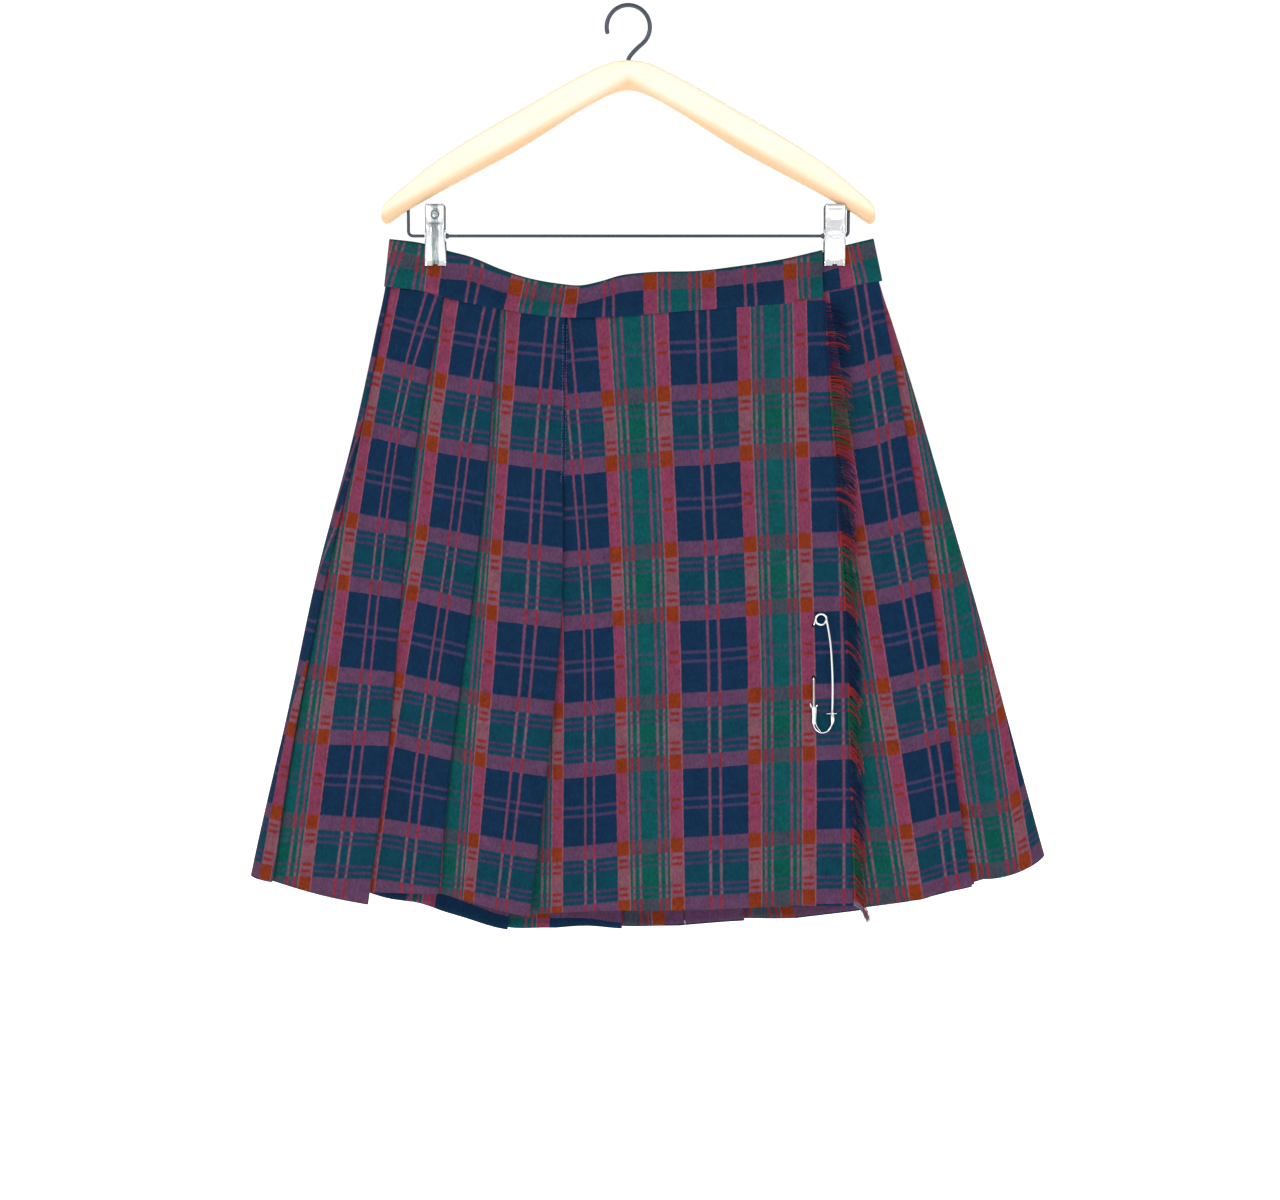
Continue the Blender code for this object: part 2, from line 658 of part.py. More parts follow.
def smooth_path(points, count):
    """A Catmull-Rom curve of count points through the given points."""
    points = np.array(points, float)
    ends = np.vstack([2 * points[0] - points[1], points, 2 * points[-1] - points[-2]])
    path = []
    for t in np.linspace(0, len(points) - 1, count):
        k = min(int(t), len(points) - 2)
        f = t - k
        p0, p1, p2, p3 = ends[k:k + 4]
        path.append(0.5 * (2 * p1 + (p2 - p0) * f + (2 * p0 - 5 * p1 + 4 * p2 - p3) * f ** 2
                           + (3 * p1 - p0 - 3 * p2 + p3) * f ** 3))
    return path


def pin_path():
    """The pin's wire from its point, through the cloth, round the coil and down to the bow."""
    thin, arm = PIN_WIRE / 2, PIN_WIRE / 2 + 0.35
    front = PIN_REST + thin
    behind = -(CLOTH + PIN_REST + thin)
    in_cup = PIN_REST + PIN_CAP_RADIUS
    upper, lower = PIN_HOLES_Z
    x = PIN_POINT_X
    route = [(x, -424.0, in_cup, 0.35), (x, -418.0, in_cup, thin), (x, -408.0, in_cup - 0.4, thin),
             (x, lower - 3.2, front, thin), (x, lower - 1.3, front - 0.25, thin),
             (x, lower - 0.4, front - 0.9, thin), (x, lower + 0.4, behind + 0.9, thin),
             (x, lower + 1.3, behind + 0.25, thin), (x, lower + 3.2, behind, thin),
             (x, (upper + lower) / 2, behind, thin), (x, upper - 3.2, behind, thin),
             (x, upper - 1.3, behind + 0.25, thin), (x, upper - 0.4, behind + 0.9, thin),
             (x, upper + 0.4, front - 0.9, thin), (x + 0.4, upper + 1.6, front - 0.1, thin)]
    turns, steps, bow_steps = 1.5, 22, 8
    for k in range(steps + 1):
        turned = k / steps * turns
        angle = math.pi - turned * 2 * math.pi
        route.append((PIN_COIL[0] + PIN_COIL_RADIUS * math.cos(angle),
                      PIN_COIL[1] + PIN_COIL_RADIUS * math.sin(angle),
                      front + PIN_COIL_PITCH * turned, thin + 0.1 * turned))
    high = front + PIN_COIL_PITCH * turns
    bow_x = 179.6
    route += [(178.4, -352.0, high, arm), (180.1, -366.0, high, arm), (181.0, -390.0, high - 0.6, arm),
              (181.2, -411.0, high - 1.6, arm), (180.0, -422.0, high - 2.2, arm),
              (179.8, -430.0, high - 2.4, arm + 0.2), (bow_x, -431.2, high - 2.4, PIN_BOW_RADIUS)]
    half = (bow_x - x) / 2
    for k in range(1, bow_steps + 1):
        angle = math.pi * k / bow_steps
        route.append((x + half + half * math.cos(angle), PIN_BOW_Z - PIN_BOW_DROP * math.sin(angle),
                      in_cup, PIN_BOW_RADIUS))
    route.append((x, PIN_BOW_Z + 1.4, in_cup, PIN_BOW_RADIUS))
    return route


def make_pin(materials, collection):
    """The bent wire, its crown bar and the cup that guards the point."""
    path = []
    for x, z, out, radius in pin_path():
        path.append((*on_apron(x, z, out), radius))
    wire = as_mesh(wire_object("kilt_pin", [path], materials["chrome_steel"], collection), collection)
    bar_out, bar_radius = PIN_REST + PIN_WIRE / 2 + 1.5, 0.65
    ends = []
    for side in (-1, 1):
        ends.append((*on_apron(CROWN_BAR[0] + side * CROWN_BAR_HALF, CROWN_BAR[1], bar_out), bar_radius))
    bar = as_mesh(wire_object("crown_bar", [ends], materials["chrome_steel"], collection, 1), collection)
    boolean(wire, bar, "UNION")
    top, bottom = PIN_CAP_Z
    out = PIN_CAP_RADIUS + PIN_REST
    cup_path = []
    for z in (top, (top + bottom) / 2, bottom):
        cup_path.append((*on_apron(PIN_POINT_X, z, out), PIN_CAP_RADIUS))
    chrome = materials["chrome_steel"]
    cup = as_mesh(wire_object("kilt_pin_cup", [cup_path], chrome, collection, 2), collection)
    bore_path = []
    for z in (top + 2, (top + bottom) / 2 - 1.75, bottom - 2):
        bore_path.append((*on_apron(PIN_POINT_X, z, out), PIN_WIRE / 2 + 0.4))
    bore = as_mesh(wire_object("cup_bore", [bore_path], materials["chrome_steel"], collection, 1), collection)
    boolean(cup, bore, "DIFFERENCE")
    return wire


def pin_hole_cutters(materials, collection):
    cutters = []
    for z in PIN_HOLES_Z:
        path = [(*on_apron(PIN_POINT_X + 0.05, z, out), PIN_HOLE_RADIUS) for out in (4.0, -5.0)]
        cutter = wire_object("pin_hole", [path], materials["chrome_steel"], collection, 2)
        cutters.append(as_mesh(cutter, collection))
    return cutters


# Joining and cutting

def as_mesh(source, collection):
    """The object as a welded mesh, in place of its curve."""
    bpy.context.view_layer.update()
    graph = bpy.context.evaluated_depsgraph_get()
    mesh = bpy.data.meshes.new_from_object(source.evaluated_get(graph))
    name, matrix = source.name, source.matrix_world.copy()
    bpy.data.objects.remove(source, do_unlink=True)
    bm = bmesh.new()
    bm.from_mesh(mesh)
    bmesh.ops.remove_doubles(bm, verts=bm.verts[:], dist=MERGE)
    bmesh.ops.recalc_face_normals(bm, faces=bm.faces[:])
    bm.to_mesh(mesh)
    bm.free()
    result = bpy.data.objects.new(name, mesh)
    result.matrix_world = matrix
    mesh.name = name
    collection.objects.link(result)
    return result


def boolean(target, tool, operation):
    """Join or cut with an exact Boolean, and take the tool away."""
    step = target.modifiers.new("cut", "BOOLEAN")
    step.operation = operation
    step.object = tool
    keep_result(target)
    bpy.data.objects.remove(tool, do_unlink=True)


def keep_result(target):
    bpy.context.view_layer.update()
    graph = bpy.context.evaluated_depsgraph_get()
    mesh = bpy.data.meshes.new_from_object(target.evaluated_get(graph))
    target.modifiers.clear()
    target.data = mesh
    mesh.name = target.name


def box_object(name, low, high, material, collection):
    """A box between two corners, in millimetres from the rod."""
    bpy.ops.mesh.primitive_cube_add(size=1)
    box = bpy.context.object
    box.name = box.data.name = name
    low, high = metres(*low), metres(*high)
    middle = [(a + b) / 2 for a, b in zip(low, high)]
    size = [b - a for a, b in zip(low, high)]
    box.data.transform(Matrix.Translation(middle) @ Matrix.Diagonal((*size, 1)))
    return settle(box, material, collection)


def settle(item, material, collection):
    for other in list(item.users_collection):
        other.objects.unlink(item)
    collection.objects.link(item)
    item.data.materials.clear()
    item.data.materials.append(material)
    return item


def cylinder_x(name, radius, x_range, y, z, material, collection, sides=20):
    depth = (x_range[1] - x_range[0]) * MM
    bpy.ops.mesh.primitive_cylinder_add(vertices=sides, radius=radius * MM, depth=depth)
    item = bpy.context.object
    item.name = item.data.name = name
    lying = Matrix.Rotation(math.pi / 2, 4, "Y")
    item.data.transform(Matrix.Translation(metres(sum(x_range) / 2, y, z)) @ lying)
    return settle(item, material, collection)


# Hanger

def make_rod(materials, collection):
    bend = []
    steps = 6
    for k in range(steps + 1):
        angle = math.pi / 2 * k / steps
        bend.append((ROD_LEG_X - ROD_BEND * (1 - math.cos(angle)), ROD_BEND * (1 - math.sin(angle))))
    half = [(ROD_LEG_X, ROD_LEG_TOP)] + bend
    left = [(-x, z) for x, z in half]
    path = [(x, 0.0, z, ROD_WIRE / 2) for x, z in left + half[::-1]]
    wire_object("hanger_rod", [path], materials["steel_wire"], collection)


def make_hook(materials, collection):
    """Shank, a short bend, and two thirds of a turn over the rail."""
    centre_z = ROD_BELOW_HOOK + HOOK_WIRE / 2 - HOOK_RADIUS
    join, sweep = math.radians(-50), math.radians(245)
    joined = (HOOK_RADIUS * math.cos(join), centre_z + HOOK_RADIUS * math.sin(join))
    corner_z = joined[1] - joined[0] * math.cos(join) / -math.sin(join)
    wood_top = WOOD_OUTLINE[0][2]
    radius = HOOK_WIRE / 2
    path = [(0.0, 0.0, wood_top - SHANK_DEPTH, radius)]
    bend_steps, turn_steps = 6, 24
    for t in np.linspace(0, 1, bend_steps + 1):
        z = (1 - t) ** 2 * wood_top + 2 * t * (1 - t) * corner_z + t * t * joined[1]
        path.append((t * t * joined[0], 0.0, z, radius))
    for t in np.linspace(0, 1, turn_steps + 1)[1:]:
        angle = join + sweep * t
        path.append((HOOK_RADIUS * math.cos(angle), 0.0, centre_z + HOOK_RADIUS * math.sin(angle), radius))
    wire_object("hanger_hook", [path], materials["steel_wire"], collection, 3)


def wood_edge(column):
    """Smooth points of one edge of the right arm, from the middle outwards."""
    rows = [(row[0], row[column]) for row in WOOD_OUTLINE]
    mirrored = [(-rows[1][0], rows[1][1])] + rows
    steps = 3
    path = smooth_path(mirrored, steps * (len(mirrored) - 1) + 1)
    return [tuple(p) for p in path if p[0] > -0.01]


def make_wood(materials, collection):
    """The bent arms as a flat outline with rounded edges, bored for the hook and the rod's legs."""
    under, upper = wood_edge(1), wood_edge(2)
    right = under + list(WOOD_NOSE) + upper[::-1]
    left = [(-x, z) for x, z in right[::-1] if x > 0.01]
    curve = bpy.data.curves.new("hanger_wood", "CURVE")
    curve.dimensions = "2D"
    curve.fill_mode = "BOTH"
    curve.extrude = (WOOD_THICK / 2 - WOOD_ROUNDING) * MM
    curve.bevel_depth = WOOD_ROUNDING * MM
    curve.bevel_resolution = 1
    curve.offset = -WOOD_ROUNDING * MM
    spline = curve.splines.new("POLY")
    outline = right + left
    spline.points.add(len(outline) - 1)
    for point, (x, z) in zip(spline.points, outline):
        point.co = (x * MM, z * MM, 0, 1)
    spline.use_cyclic_u = True
    wood = bpy.data.objects.new("hanger_wood", curve)
    wood.rotation_euler = (math.pi / 2, 0, 0)
    wood.location = metres(0, 0, 0)
    curve.materials.append(materials["beech_wood"])
    collection.objects.link(wood)
    wood = as_mesh(wood, collection)
    wood_top = WOOD_OUTLINE[0][2]
    bores = [((0.0, wood_top - SHANK_DEPTH - 1.0), (0.0, wood_top + 10.0), HOOK_WIRE / 2 + SEAM_GAP)]
    for side in (-1, 1):
        x = side * ROD_LEG_X
        bores.append(((x, 5.0), (x, ROD_LEG_TOP + 1.0), ROD_WIRE / 2 + SEAM_GAP))
    for low, high, radius in bores:
        path = [(x, 0.0, z, radius) for x, z in (low, high)]
        tool = wire_object("bore", [path], materials["beech_wood"], collection, 2)
        boolean(wood, as_mesh(tool, collection), "DIFFERENCE")


def make_clip(side, materials, collection):
    """Two pressed plates with ears, turning on a barrel round the rod, and the spring between them."""
    x = CLIP_X[side]
    chrome = materials["chrome_steel"]
    outer_ear = CLIP_WIDTH / 2 - CLIP_STEEL / 2
    inner_ear = outer_ear - CLIP_STEEL - SEAM_GAP
    through = (x - CLIP_WIDTH, x + CLIP_WIDTH)
    for face, way, ear_x in (("front", -1, outer_ear), ("back", 1, inner_ear)):
        name = f"clip_{side}_{face}"
        grid = []
        for y, z in CLIP_PROFILE:
            width = CLIP_WIDTH + (JAW_FLARE if z < JAW_FLARE_BELOW else 0)
            grid.append([(x + width * across, way * y, z) for across in (-0.5, 0, 0.5)])
        plate = sheet_object(name, grid, CLIP_STEEL, chrome, collection)
        keep_result(plate)
        reach = sorted((way * EAR_REACH[0], way * EAR_REACH[1]))
        for ear in (-1, 1):
            middle = x + ear * ear_x
            box = box_object("ear", (middle - CLIP_STEEL / 2, reach[0], -EAR_HALF_HEIGHT),
                             (middle + CLIP_STEEL / 2, reach[1], EAR_HALF_HEIGHT), chrome, collection)
            boolean(plate, box, "UNION")
        hole = cylinder_x("hole", BARREL_RADIUS + SEAM_GAP, through, 0, 0, chrome, collection)
        boolean(plate, hole, "DIFFERENCE")
    inner = 1 if side == "left" else -1
    ends = sorted((x - inner * (CLIP_WIDTH / 2 - BARREL_SHORT), x + inner * (CLIP_WIDTH / 2 + BARREL_PAST)))
    barrel = cylinder_x(f"clip_{side}_barrel", BARREL_RADIUS, ends, 0, 0, chrome, collection)
    bore = cylinder_x("bore", ROD_WIRE / 2 + SEAM_GAP, through, 0, 0, chrome, collection)
    boolean(barrel, bore, "DIFFERENCE")
    half = inner_ear - CLIP_STEEL / 2 - SEAM_GAP
    spring = cylinder_x(f"clip_{side}_spring", SPRING_RADIUS, (x - half, x + half), 0, 0, chrome, collection)
    bore = cylinder_x("bore", BARREL_RADIUS + SEAM_GAP, through, 0, 0, chrome, collection)
    boolean(spring, bore, "DIFFERENCE")


def make_kilt():
    clear_scene()
    collection = new_collection("hanging_kilt")
    materials = make_materials()
    pieces = make_skirt(materials, collection)
    make_waistband(materials, collection)
    make_fringe(materials, collection)
    keep_result(pieces["over_apron"])
    for cutter in pin_hole_cutters(materials, collection):
        boolean(pieces["over_apron"], cutter, "DIFFERENCE")
    make_pin(materials, collection)
    make_wood(materials, collection)
    make_rod(materials, collection)
    make_hook(materials, collection)
    for side in CLIP_X:
        make_clip(side, materials, collection)


make_kilt()
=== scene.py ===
"""A tartan wrap kilt hung from its wooden clip hanger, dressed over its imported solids.

Sizes are in millimetres. Tables give X from the hook's middle and Z from the middle of the hanger's
rod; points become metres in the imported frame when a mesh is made.
"""
import math
from functools import lru_cache

import bmesh
import bpy
import numpy as np
from mathutils import Matrix, Vector


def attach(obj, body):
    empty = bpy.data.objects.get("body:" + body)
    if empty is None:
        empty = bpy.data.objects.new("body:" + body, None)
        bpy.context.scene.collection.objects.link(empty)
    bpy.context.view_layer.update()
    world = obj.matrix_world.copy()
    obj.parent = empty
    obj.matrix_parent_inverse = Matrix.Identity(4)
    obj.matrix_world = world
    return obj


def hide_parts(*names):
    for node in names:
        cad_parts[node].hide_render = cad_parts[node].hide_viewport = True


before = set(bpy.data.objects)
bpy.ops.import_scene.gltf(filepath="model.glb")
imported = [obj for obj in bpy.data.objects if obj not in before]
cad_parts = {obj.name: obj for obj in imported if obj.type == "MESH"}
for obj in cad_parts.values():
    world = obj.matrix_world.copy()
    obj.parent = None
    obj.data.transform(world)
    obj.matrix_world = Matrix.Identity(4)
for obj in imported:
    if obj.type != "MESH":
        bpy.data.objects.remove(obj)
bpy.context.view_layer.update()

# Camera and studio
# The photograph looks a few degrees down on the kilt from about two metres, level with its upper
# half. The studio is a pale floor in a white room, with two soft lamps in front and one behind.
MM = 0.001
ROD_BELOW_HOOK = 199.0
CAMERA_AT = (0.0103, -2.0, -0.3447)
CAMERA_PITCH = math.radians(5.1)
CAMERA_LENS = 62.75
FLOOR_Z = -1.15
FLOOR_RADIUS = 14.0
BACKDROP_STRENGTH = 1.05
ROOM_STRENGTH = 0.82
WHITE = (1, 1, 1, 1)
ROOM_GREY = (0.9, 0.9, 0.9, 1)
ROOM_WHITE_FROM = 0.6
CAMERA_GREY = (0.93, 0.935, 0.95, 1)
LAMPS_AIM = (0, 0, -0.45)
LAMPS = (  # name, place, size, power
    ("lamp_left", (-1.6, -1.9, 0.9), 1.2, 21.0),
    ("lamp_right", (1.7, -1.9, 0.6), 1.2, 13.0),
    ("lamp_back", (0.2, 2.2, 0.9), 1.4, 18.0),
)


def linear(hex_colour):
    channels = [int(hex_colour[i:i + 2], 16) / 255 for i in (1, 3, 5)]
    return [c / 12.92 if c <= 0.04045 else ((c + 0.055) / 1.055) ** 2.4 for c in channels] + [1.0]


def node(tree, kind, settings=None, inputs=None):
    """Add a node with its settings; an input is a value, or a socket to link from."""
    made = tree.nodes.new(kind)
    for key, value in (settings or {}).items():
        setattr(made, key, value)
    for key, value in (inputs or {}).items():
        if isinstance(value, bpy.types.NodeSocket):
            tree.links.new(value, made.inputs[key])
        else:
            made.inputs[key].default_value = value
    return made


def maths(tree, operation, *values, clamp=False):
    """The output of a math node on these values, each a number or a socket."""
    return node(tree, "ShaderNodeMath", {"operation": operation, "use_clamp": clamp},
                dict(enumerate(values))).outputs[0]


def components(tree, vector):
    """The X, Y and Z outputs of a vector socket."""
    return node(tree, "ShaderNodeSeparateXYZ", None, {0: vector}).outputs


def new_material(name, sockets):
    """A material with its Principled shader's uniform values set on the shader's own sockets."""
    material = bpy.data.materials.new(name)
    material.use_nodes = True
    shader = material.node_tree.nodes["Principled BSDF"]
    for key, value in sockets.items():
        shader.inputs[key].default_value = value
    return material, material.node_tree, shader


camera_data = bpy.data.cameras.new("camera")
camera_data.lens = CAMERA_LENS
camera_data.sensor_width = 36.0
camera_data.sensor_fit = "HORIZONTAL"
camera = bpy.data.objects.new("camera", camera_data)
camera.location = CAMERA_AT
camera.rotation_euler = (math.pi / 2 - CAMERA_PITCH, 0, 0)
bpy.context.scene.collection.objects.link(camera)
bpy.context.scene.camera = camera
bpy.context.scene.view_settings.view_transform = "Standard"

world = bpy.data.worlds.new("studio")
world.use_nodes = True
bpy.context.scene.world = world
sky = world.node_tree
backdrop = sky.nodes["Background"]
backdrop.inputs["Color"].default_value = WHITE
backdrop.inputs["Strength"].default_value = BACKDROP_STRENGTH
# What lights the kilt and what its metal mirrors: a white room, a little grey on the camera's side
ahead = components(sky, node(sky, "ShaderNodeTexCoord").outputs["Generated"])["Y"]
room = node(sky, "ShaderNodeValToRGB", None, {"Fac": ahead})
for element, position, colour in zip(room.color_ramp.elements, (0.0, ROOM_WHITE_FROM), (ROOM_GREY, WHITE)):
    element.position, element.color = position, colour
behind_camera = maths(sky, "MULTIPLY_ADD", ahead, -1.0, -0.86)
near_camera = maths(sky, "MULTIPLY", behind_camera, 12.0, clamp=True)
mirrored = node(sky, "ShaderNodeMix", {"data_type": "RGBA"},
                {0: near_camera, 6: room.outputs["Color"], 7: CAMERA_GREY})
lit = node(sky, "ShaderNodeBackground", None, {"Color": mirrored.outputs[2], "Strength": ROOM_STRENGTH})
seen = node(sky, "ShaderNodeLightPath")
chosen = node(sky, "ShaderNodeMixShader", None, {0: seen.outputs["Is Camera Ray"]})
sky.links.new(lit.outputs[0], chosen.inputs[1])
sky.links.new(backdrop.outputs[0], chosen.inputs[2])
sky.links.new(chosen.outputs[0], sky.nodes["World Output"].inputs["Surface"])

for lamp_name, place, size, power in LAMPS:
    lamp_data = bpy.data.lights.new(lamp_name, "AREA")
    lamp_data.size = size
    lamp_data.energy = power
    lamp = bpy.data.objects.new(lamp_name, lamp_data)
    lamp.location = place
    lamp.rotation_euler = (Vector(LAMPS_AIM) - Vector(place)).to_track_quat("-Z", "Y").to_euler()
    bpy.context.scene.collection.objects.link(lamp)

floor_mesh = bpy.data.meshes.new("floor")
bm = bmesh.new()
bmesh.ops.create_circle(bm, cap_ends=True, segments=64, radius=FLOOR_RADIUS)
bm.to_mesh(floor_mesh)
bm.free()
floor_mesh.transform(Matrix.Translation((0, 0, FLOOR_Z)))
floor = bpy.data.objects.new("floor", floor_mesh)
bpy.context.scene.collection.objects.link(floor)
floor_paint, tree, shader = new_material("matt_white_paint", {
    "Base Color": (0.93, 0.93, 0.93, 1), "Roughness": 0.9, "Emission Color": WHITE, "Emission Strength": 0.6})
floor_mesh.materials.append(floor_paint)


# The skirt's cloth
# A wrap of light worsted twill, woven in a tartan and pressed into knife pleats: one length of
# cloth that starts inside the front, goes round the back and ends at the frayed edge of the apron.
# Its warp goes round the wearer and its weft up and down. Each sheet follows the curve of its solid
# and keeps at every point its place along the cloth and up it, so that the checks run with the cloth.
CLOTH = 1.0
PLEAT_PITCH = 1.5
SEAM_GAP = 0.3
WAIST_GAP = 0.5
LEVELS = (0.0, 0.25, 0.5, 0.75, 1.0)
LEFT_SIDE = (-216.0, -246.0, -282.5, -312.5, -343.5)
RIGHT_SIDE = (225.0, 268.0, 307.0, 343.5, 379.5)
APRON_EDGE = (172.0, 181.0, 190.5, 196.0, 201.0)
APRON_LIFT = 4.0
UNDER_START = (-70.0, -76.0, -84.0, -92.0, -100.0)
UNDER_INSET = (7.5, 17.0)
UNDER_CLEARANCE = 0.5
UNDER_COLUMNS = 72
FOLDS = (
    # name, side, X at LEVELS, half depths, gape at the hem
    ("E", "front", (222.0, 247.0, 270.0, 288.0, 309.0), (9.0, 8.0), 1.6),
    ("F1", "back", (165.0, 209.0, 252.0, 296.0, 340.0), (30.0, 24.0), 1.2),
    ("F2", "back", (113.0, 150.0, 186.0, 222.0, 258.0), (38.0, 60.0), 1.4),
    ("F3", "back", (61.0, 85.0, 108.0, 132.0, 155.0), (38.0, 61.0), 1.4),
    ("F4", "back", (9.0, 18.0, 28.0, 37.0, 46.0), (38.0, 61.0), 1.4),
    ("F5", "back", (-43.0, -49.0, -56.0, -62.0, -68.0), (38.0, 61.0), 1.4),
    ("F6", "back", (-95.0, -115.0, -134.0, -154.0, -174.0), (38.0, 61.0), 1.4),
    ("F7", "back", (-147.0, -173.0, -200.0, -227.0, -253.0), (36.0, 52.0), 1.2),
    ("D", "front", (-212.5, -241.0, -273.0, -301.5, -321.4), (6.0, 18.0), 1.0),
    ("C", "front", (-164.0, -190.0, -204.0, -216.0, -234.0), (34.0, 29.0), 1.2),
    ("B", "front", (-115.0, -125.0, -140.0, -158.0, -171.0), (32.0, 11.0), 1.6),
    ("A", "front", (-56.0, -58.0, -60.0, -73.0, -89.0), (46.0, 15.0), 3.6),
)
FOLD_NAMES = [fold[0] for fold in FOLDS] + ["edge"]
LAST_FOLDS = ("D", "C", "B", "A")
CLOTH_PIECES = (
    ("under_apron", "E"),
    ("right_pleats", "F1"),
    ("back_pleats_right", "F4"),
    ("back_pleats_left", "F7"),
    ("left_pleats", "A"),
    ("over_apron", None),
)
OVER_SEAM = (
    (-216.0, -45.0), (-184.0, -49.0), (-146.0, -59.0), (-109.0, -66.0), (-76.0, -71.5),
    (-45.0, -73.4), (-5.0, -72.0), (47.0, -68.0), (101.0, -63.5), (172.0, -57.7),
)
UNDER_SEAM = (
    (-100.0, -68.0), (-40.0, -71.0), (20.0, -67.5), (100.0, -60.0), (150.0, -54.0), (172.0, -50.0),
    (192.0, -46.0), (225.0, -40.0),
)
BACK_SEAM = (
    (-216.0, -45.0), (-184.0, -50.0), (-150.0, -64.0), (-80.0, -92.0), (0.0, -102.0),
    (90.0, -86.0), (150.0, -61.0), (190.0, -46.5), (225.0, -40.0),
)
BACK_HEM = (
    (-343.0, -574.5), (-300.0, -584.0), (-252.0, -594.0), (-225.0, -602.0), (-194.0, -606.0),
    (-156.0, -618.0), (-114.0, -631.0), (-75.0, -629.0), (-40.0, -628.0), (-8.0, -630.5), (30.0, -628.5),
    (72.0, -625.0), (139.0, -620.5), (209.0, -612.0), (255.0, -603.0), (320.0, -583.0), (379.0, -557.0),
)
BACK_HEM_STEP = (-3.5, 1.0)
FRONT_HEMS = {
    "E": ((-150.0, -588.0), (201.0, -595.0), (261.0, -591.0), (309.0, -581.0)),
    "F1": ((309.0, -575.5), (331.0, -575.0), (352.0, -570.0), (366.0, -564.0), (379.0, -557.0)),
    "D": ((-343.0, -574.5), (-321.4, -577.0)),
    "C": ((-321.4, -577.0), (-298.0, -584.0), (-234.0, -595.4)),
    "B": ((-234.0, -585.5), (-171.0, -585.2)),
    "A": ((-171.0, -585.2), (-109.0, -600.6), (-89.0, -605.0)),
    "edge": ((-89.0, -605.0), (-61.0, -603.0), (0.0, -599.6), (60.0, -599.4), (113.0, -596.0),
             (201.0, -595.0)),
}
END_DEPTH = (7.5, 18.0)
FRONT_BULGE = (26.0, 24.0)
BACK_BULGE = (20.0, 24.0)
BULGE_HALF_WIDTH = (180.0, 361.0)
BULGE_POWER = (2.0, 1.0)
CAP_LENGTH = 1.3

# Where stripes of the weft lie on each face: place along the cloth at seam and hem, X at LINE_LEVELS
WEFT_REPEAT, WARP_REPEAT = 122.0, 139.0
LINE_LEVELS = (0.0, 0.2, 0.4, 0.6, 0.8, 1.0)
STRIPES = {
    "C": (((56.0, 56.0), (-208.7, -229.2, -247.7, -263.0, -278.3, -293.1)),),
    "B": (((56.0, 59.5), (-157.0, -170.8, -183.1, -200.6, -217.0, -231.4)),),
    "A": (((56.0, 56.0), (-101.4, -110.3, -118.2, -125.5, -134.3, -143.8)),),
    "edge": (((128.0, 128.0), (-23.1, -15.6, -11.4, -7.5, -6.0, -3.9)),
             ((178.0, 178.0), (28.6, 32.5, 37.8, 40.5, 42.4, 44.4)),
             ((250.0, 250.0), (100.7, 103.1, 107.8, 111.7, 112.4, 113.2)),
             ((300.0, 300.0), (150.8, 152.5, 155.9, 159.2, 160.8, 161.2))),
    "E": (((56.0, 56.0), (171.0, 188.5, 206.4, 223.8, 240.9, 258.0)),
          ((87.1, 87.1), (200.6, 218.3, 234.3, 254.0, 272.2, 287.5)),
          ((96.9, 96.9), (209.4, 227.4, 243.4, 263.3, 281.5, 297.0))),
}
# Place along the cloth at the fold that starts a face, at the seam and at the hem
FACE_STARTS = {"F1": (2.0, 5.0), "F2": (-6.0, -6.0), "F3": (-6.0, -6.0), "F4": (-1.0, -1.0),
               "F5": (-12.0, -12.0), "F6": (-6.0, -6.0), "F7": (-6.0, -6.0),
               "A": (43.0, 20.0), "edge": (93.0, 27.0)}
# Place along the cloth at the fold that ends a face, at END_LEVELS
END_LEVELS = (0.0, 0.12, 0.22, 0.4, 0.7, 1.0)
FACE_ENDS = {
    "D": (78.0, 82.0, 86.0, 98.0, 130.0, 135.0),
    "C": (103.0, 116.0, 121.0, 121.5, 121.5, 121.5),
    "B": (100.0, 110.0, 116.8, 121.0, 121.5, 121.5),
    "A": (103.0, 109.3, 113.5, 118.0, 120.0, 122.0),
}
# Places up the cloth of its wide rows, and the X and Z where each crosses the three left pleats' pink
# stripes and the apron beside its first fold
WARP_ROWS = (8.3, 65.8, 147.3, 204.8, 286.3, 343.8, 425.3, 482.8)
WARP_LINES = (
    ((-292.0, -579.2), (-284.7, -522.4), (-274.4, -446.0), (-266.8, -389.3), (-255.8, -307.2),
     (-247.8, -252.1), (-233.9, -169.8), (-223.1, -112.7)),
    ((-233.2, -578.8), (-225.5, -524.3), (-215.2, -446.0), (-206.4, -393.9), (-193.3, -315.8),
     (-183.7, -262.5), (-173.9, -183.8), (-166.4, -128.0)),
    ((-142.8, -588.5), (-138.0, -536.8), (-131.5, -464.2), (-126.8, -411.3), (-121.1, -333.1),
     (-117.1, -275.1), (-111.0, -194.2), (-106.5, -138.7)),
    ((-67.0, -603.4), (-61.0, -550.1), (-52.9, -474.6), (-47.4, -419.2), (-41.1, -341.1), (-39.8, -284.0),
     (-39.8, -203.0), (-39.2, -145.3)),
)
# How much further up the cloth some faces read, at the seam and at the hem
WARP_OFFSET = {"E": (-8.2, 0.8), "F6": (0.0, -8.0), "F7": (0.0, -15.0)}
# The same for the apron, by X, at the seam and at the hem
APRON_WARP = (
    ((-60.0, 4.5), (-39.0, 4.5), (-3.0, 4.7), (55.0, 1.8), (91.0, 1.4), (136.0, 0.0), (168.0, -1.2),
     (201.0, -2.0)),
    ((-89.0, 9.0), (-39.0, 8.3), (-3.0, 5.4), (55.0, 2.0), (91.0, 1.4), (136.0, 0.7), (168.0, -0.5),
     (201.0, -1.0)),
)
# On the left pleats the lowest mauve row runs on to the hem, so no place up the cloth is below this
HEM_ROW = 3.0
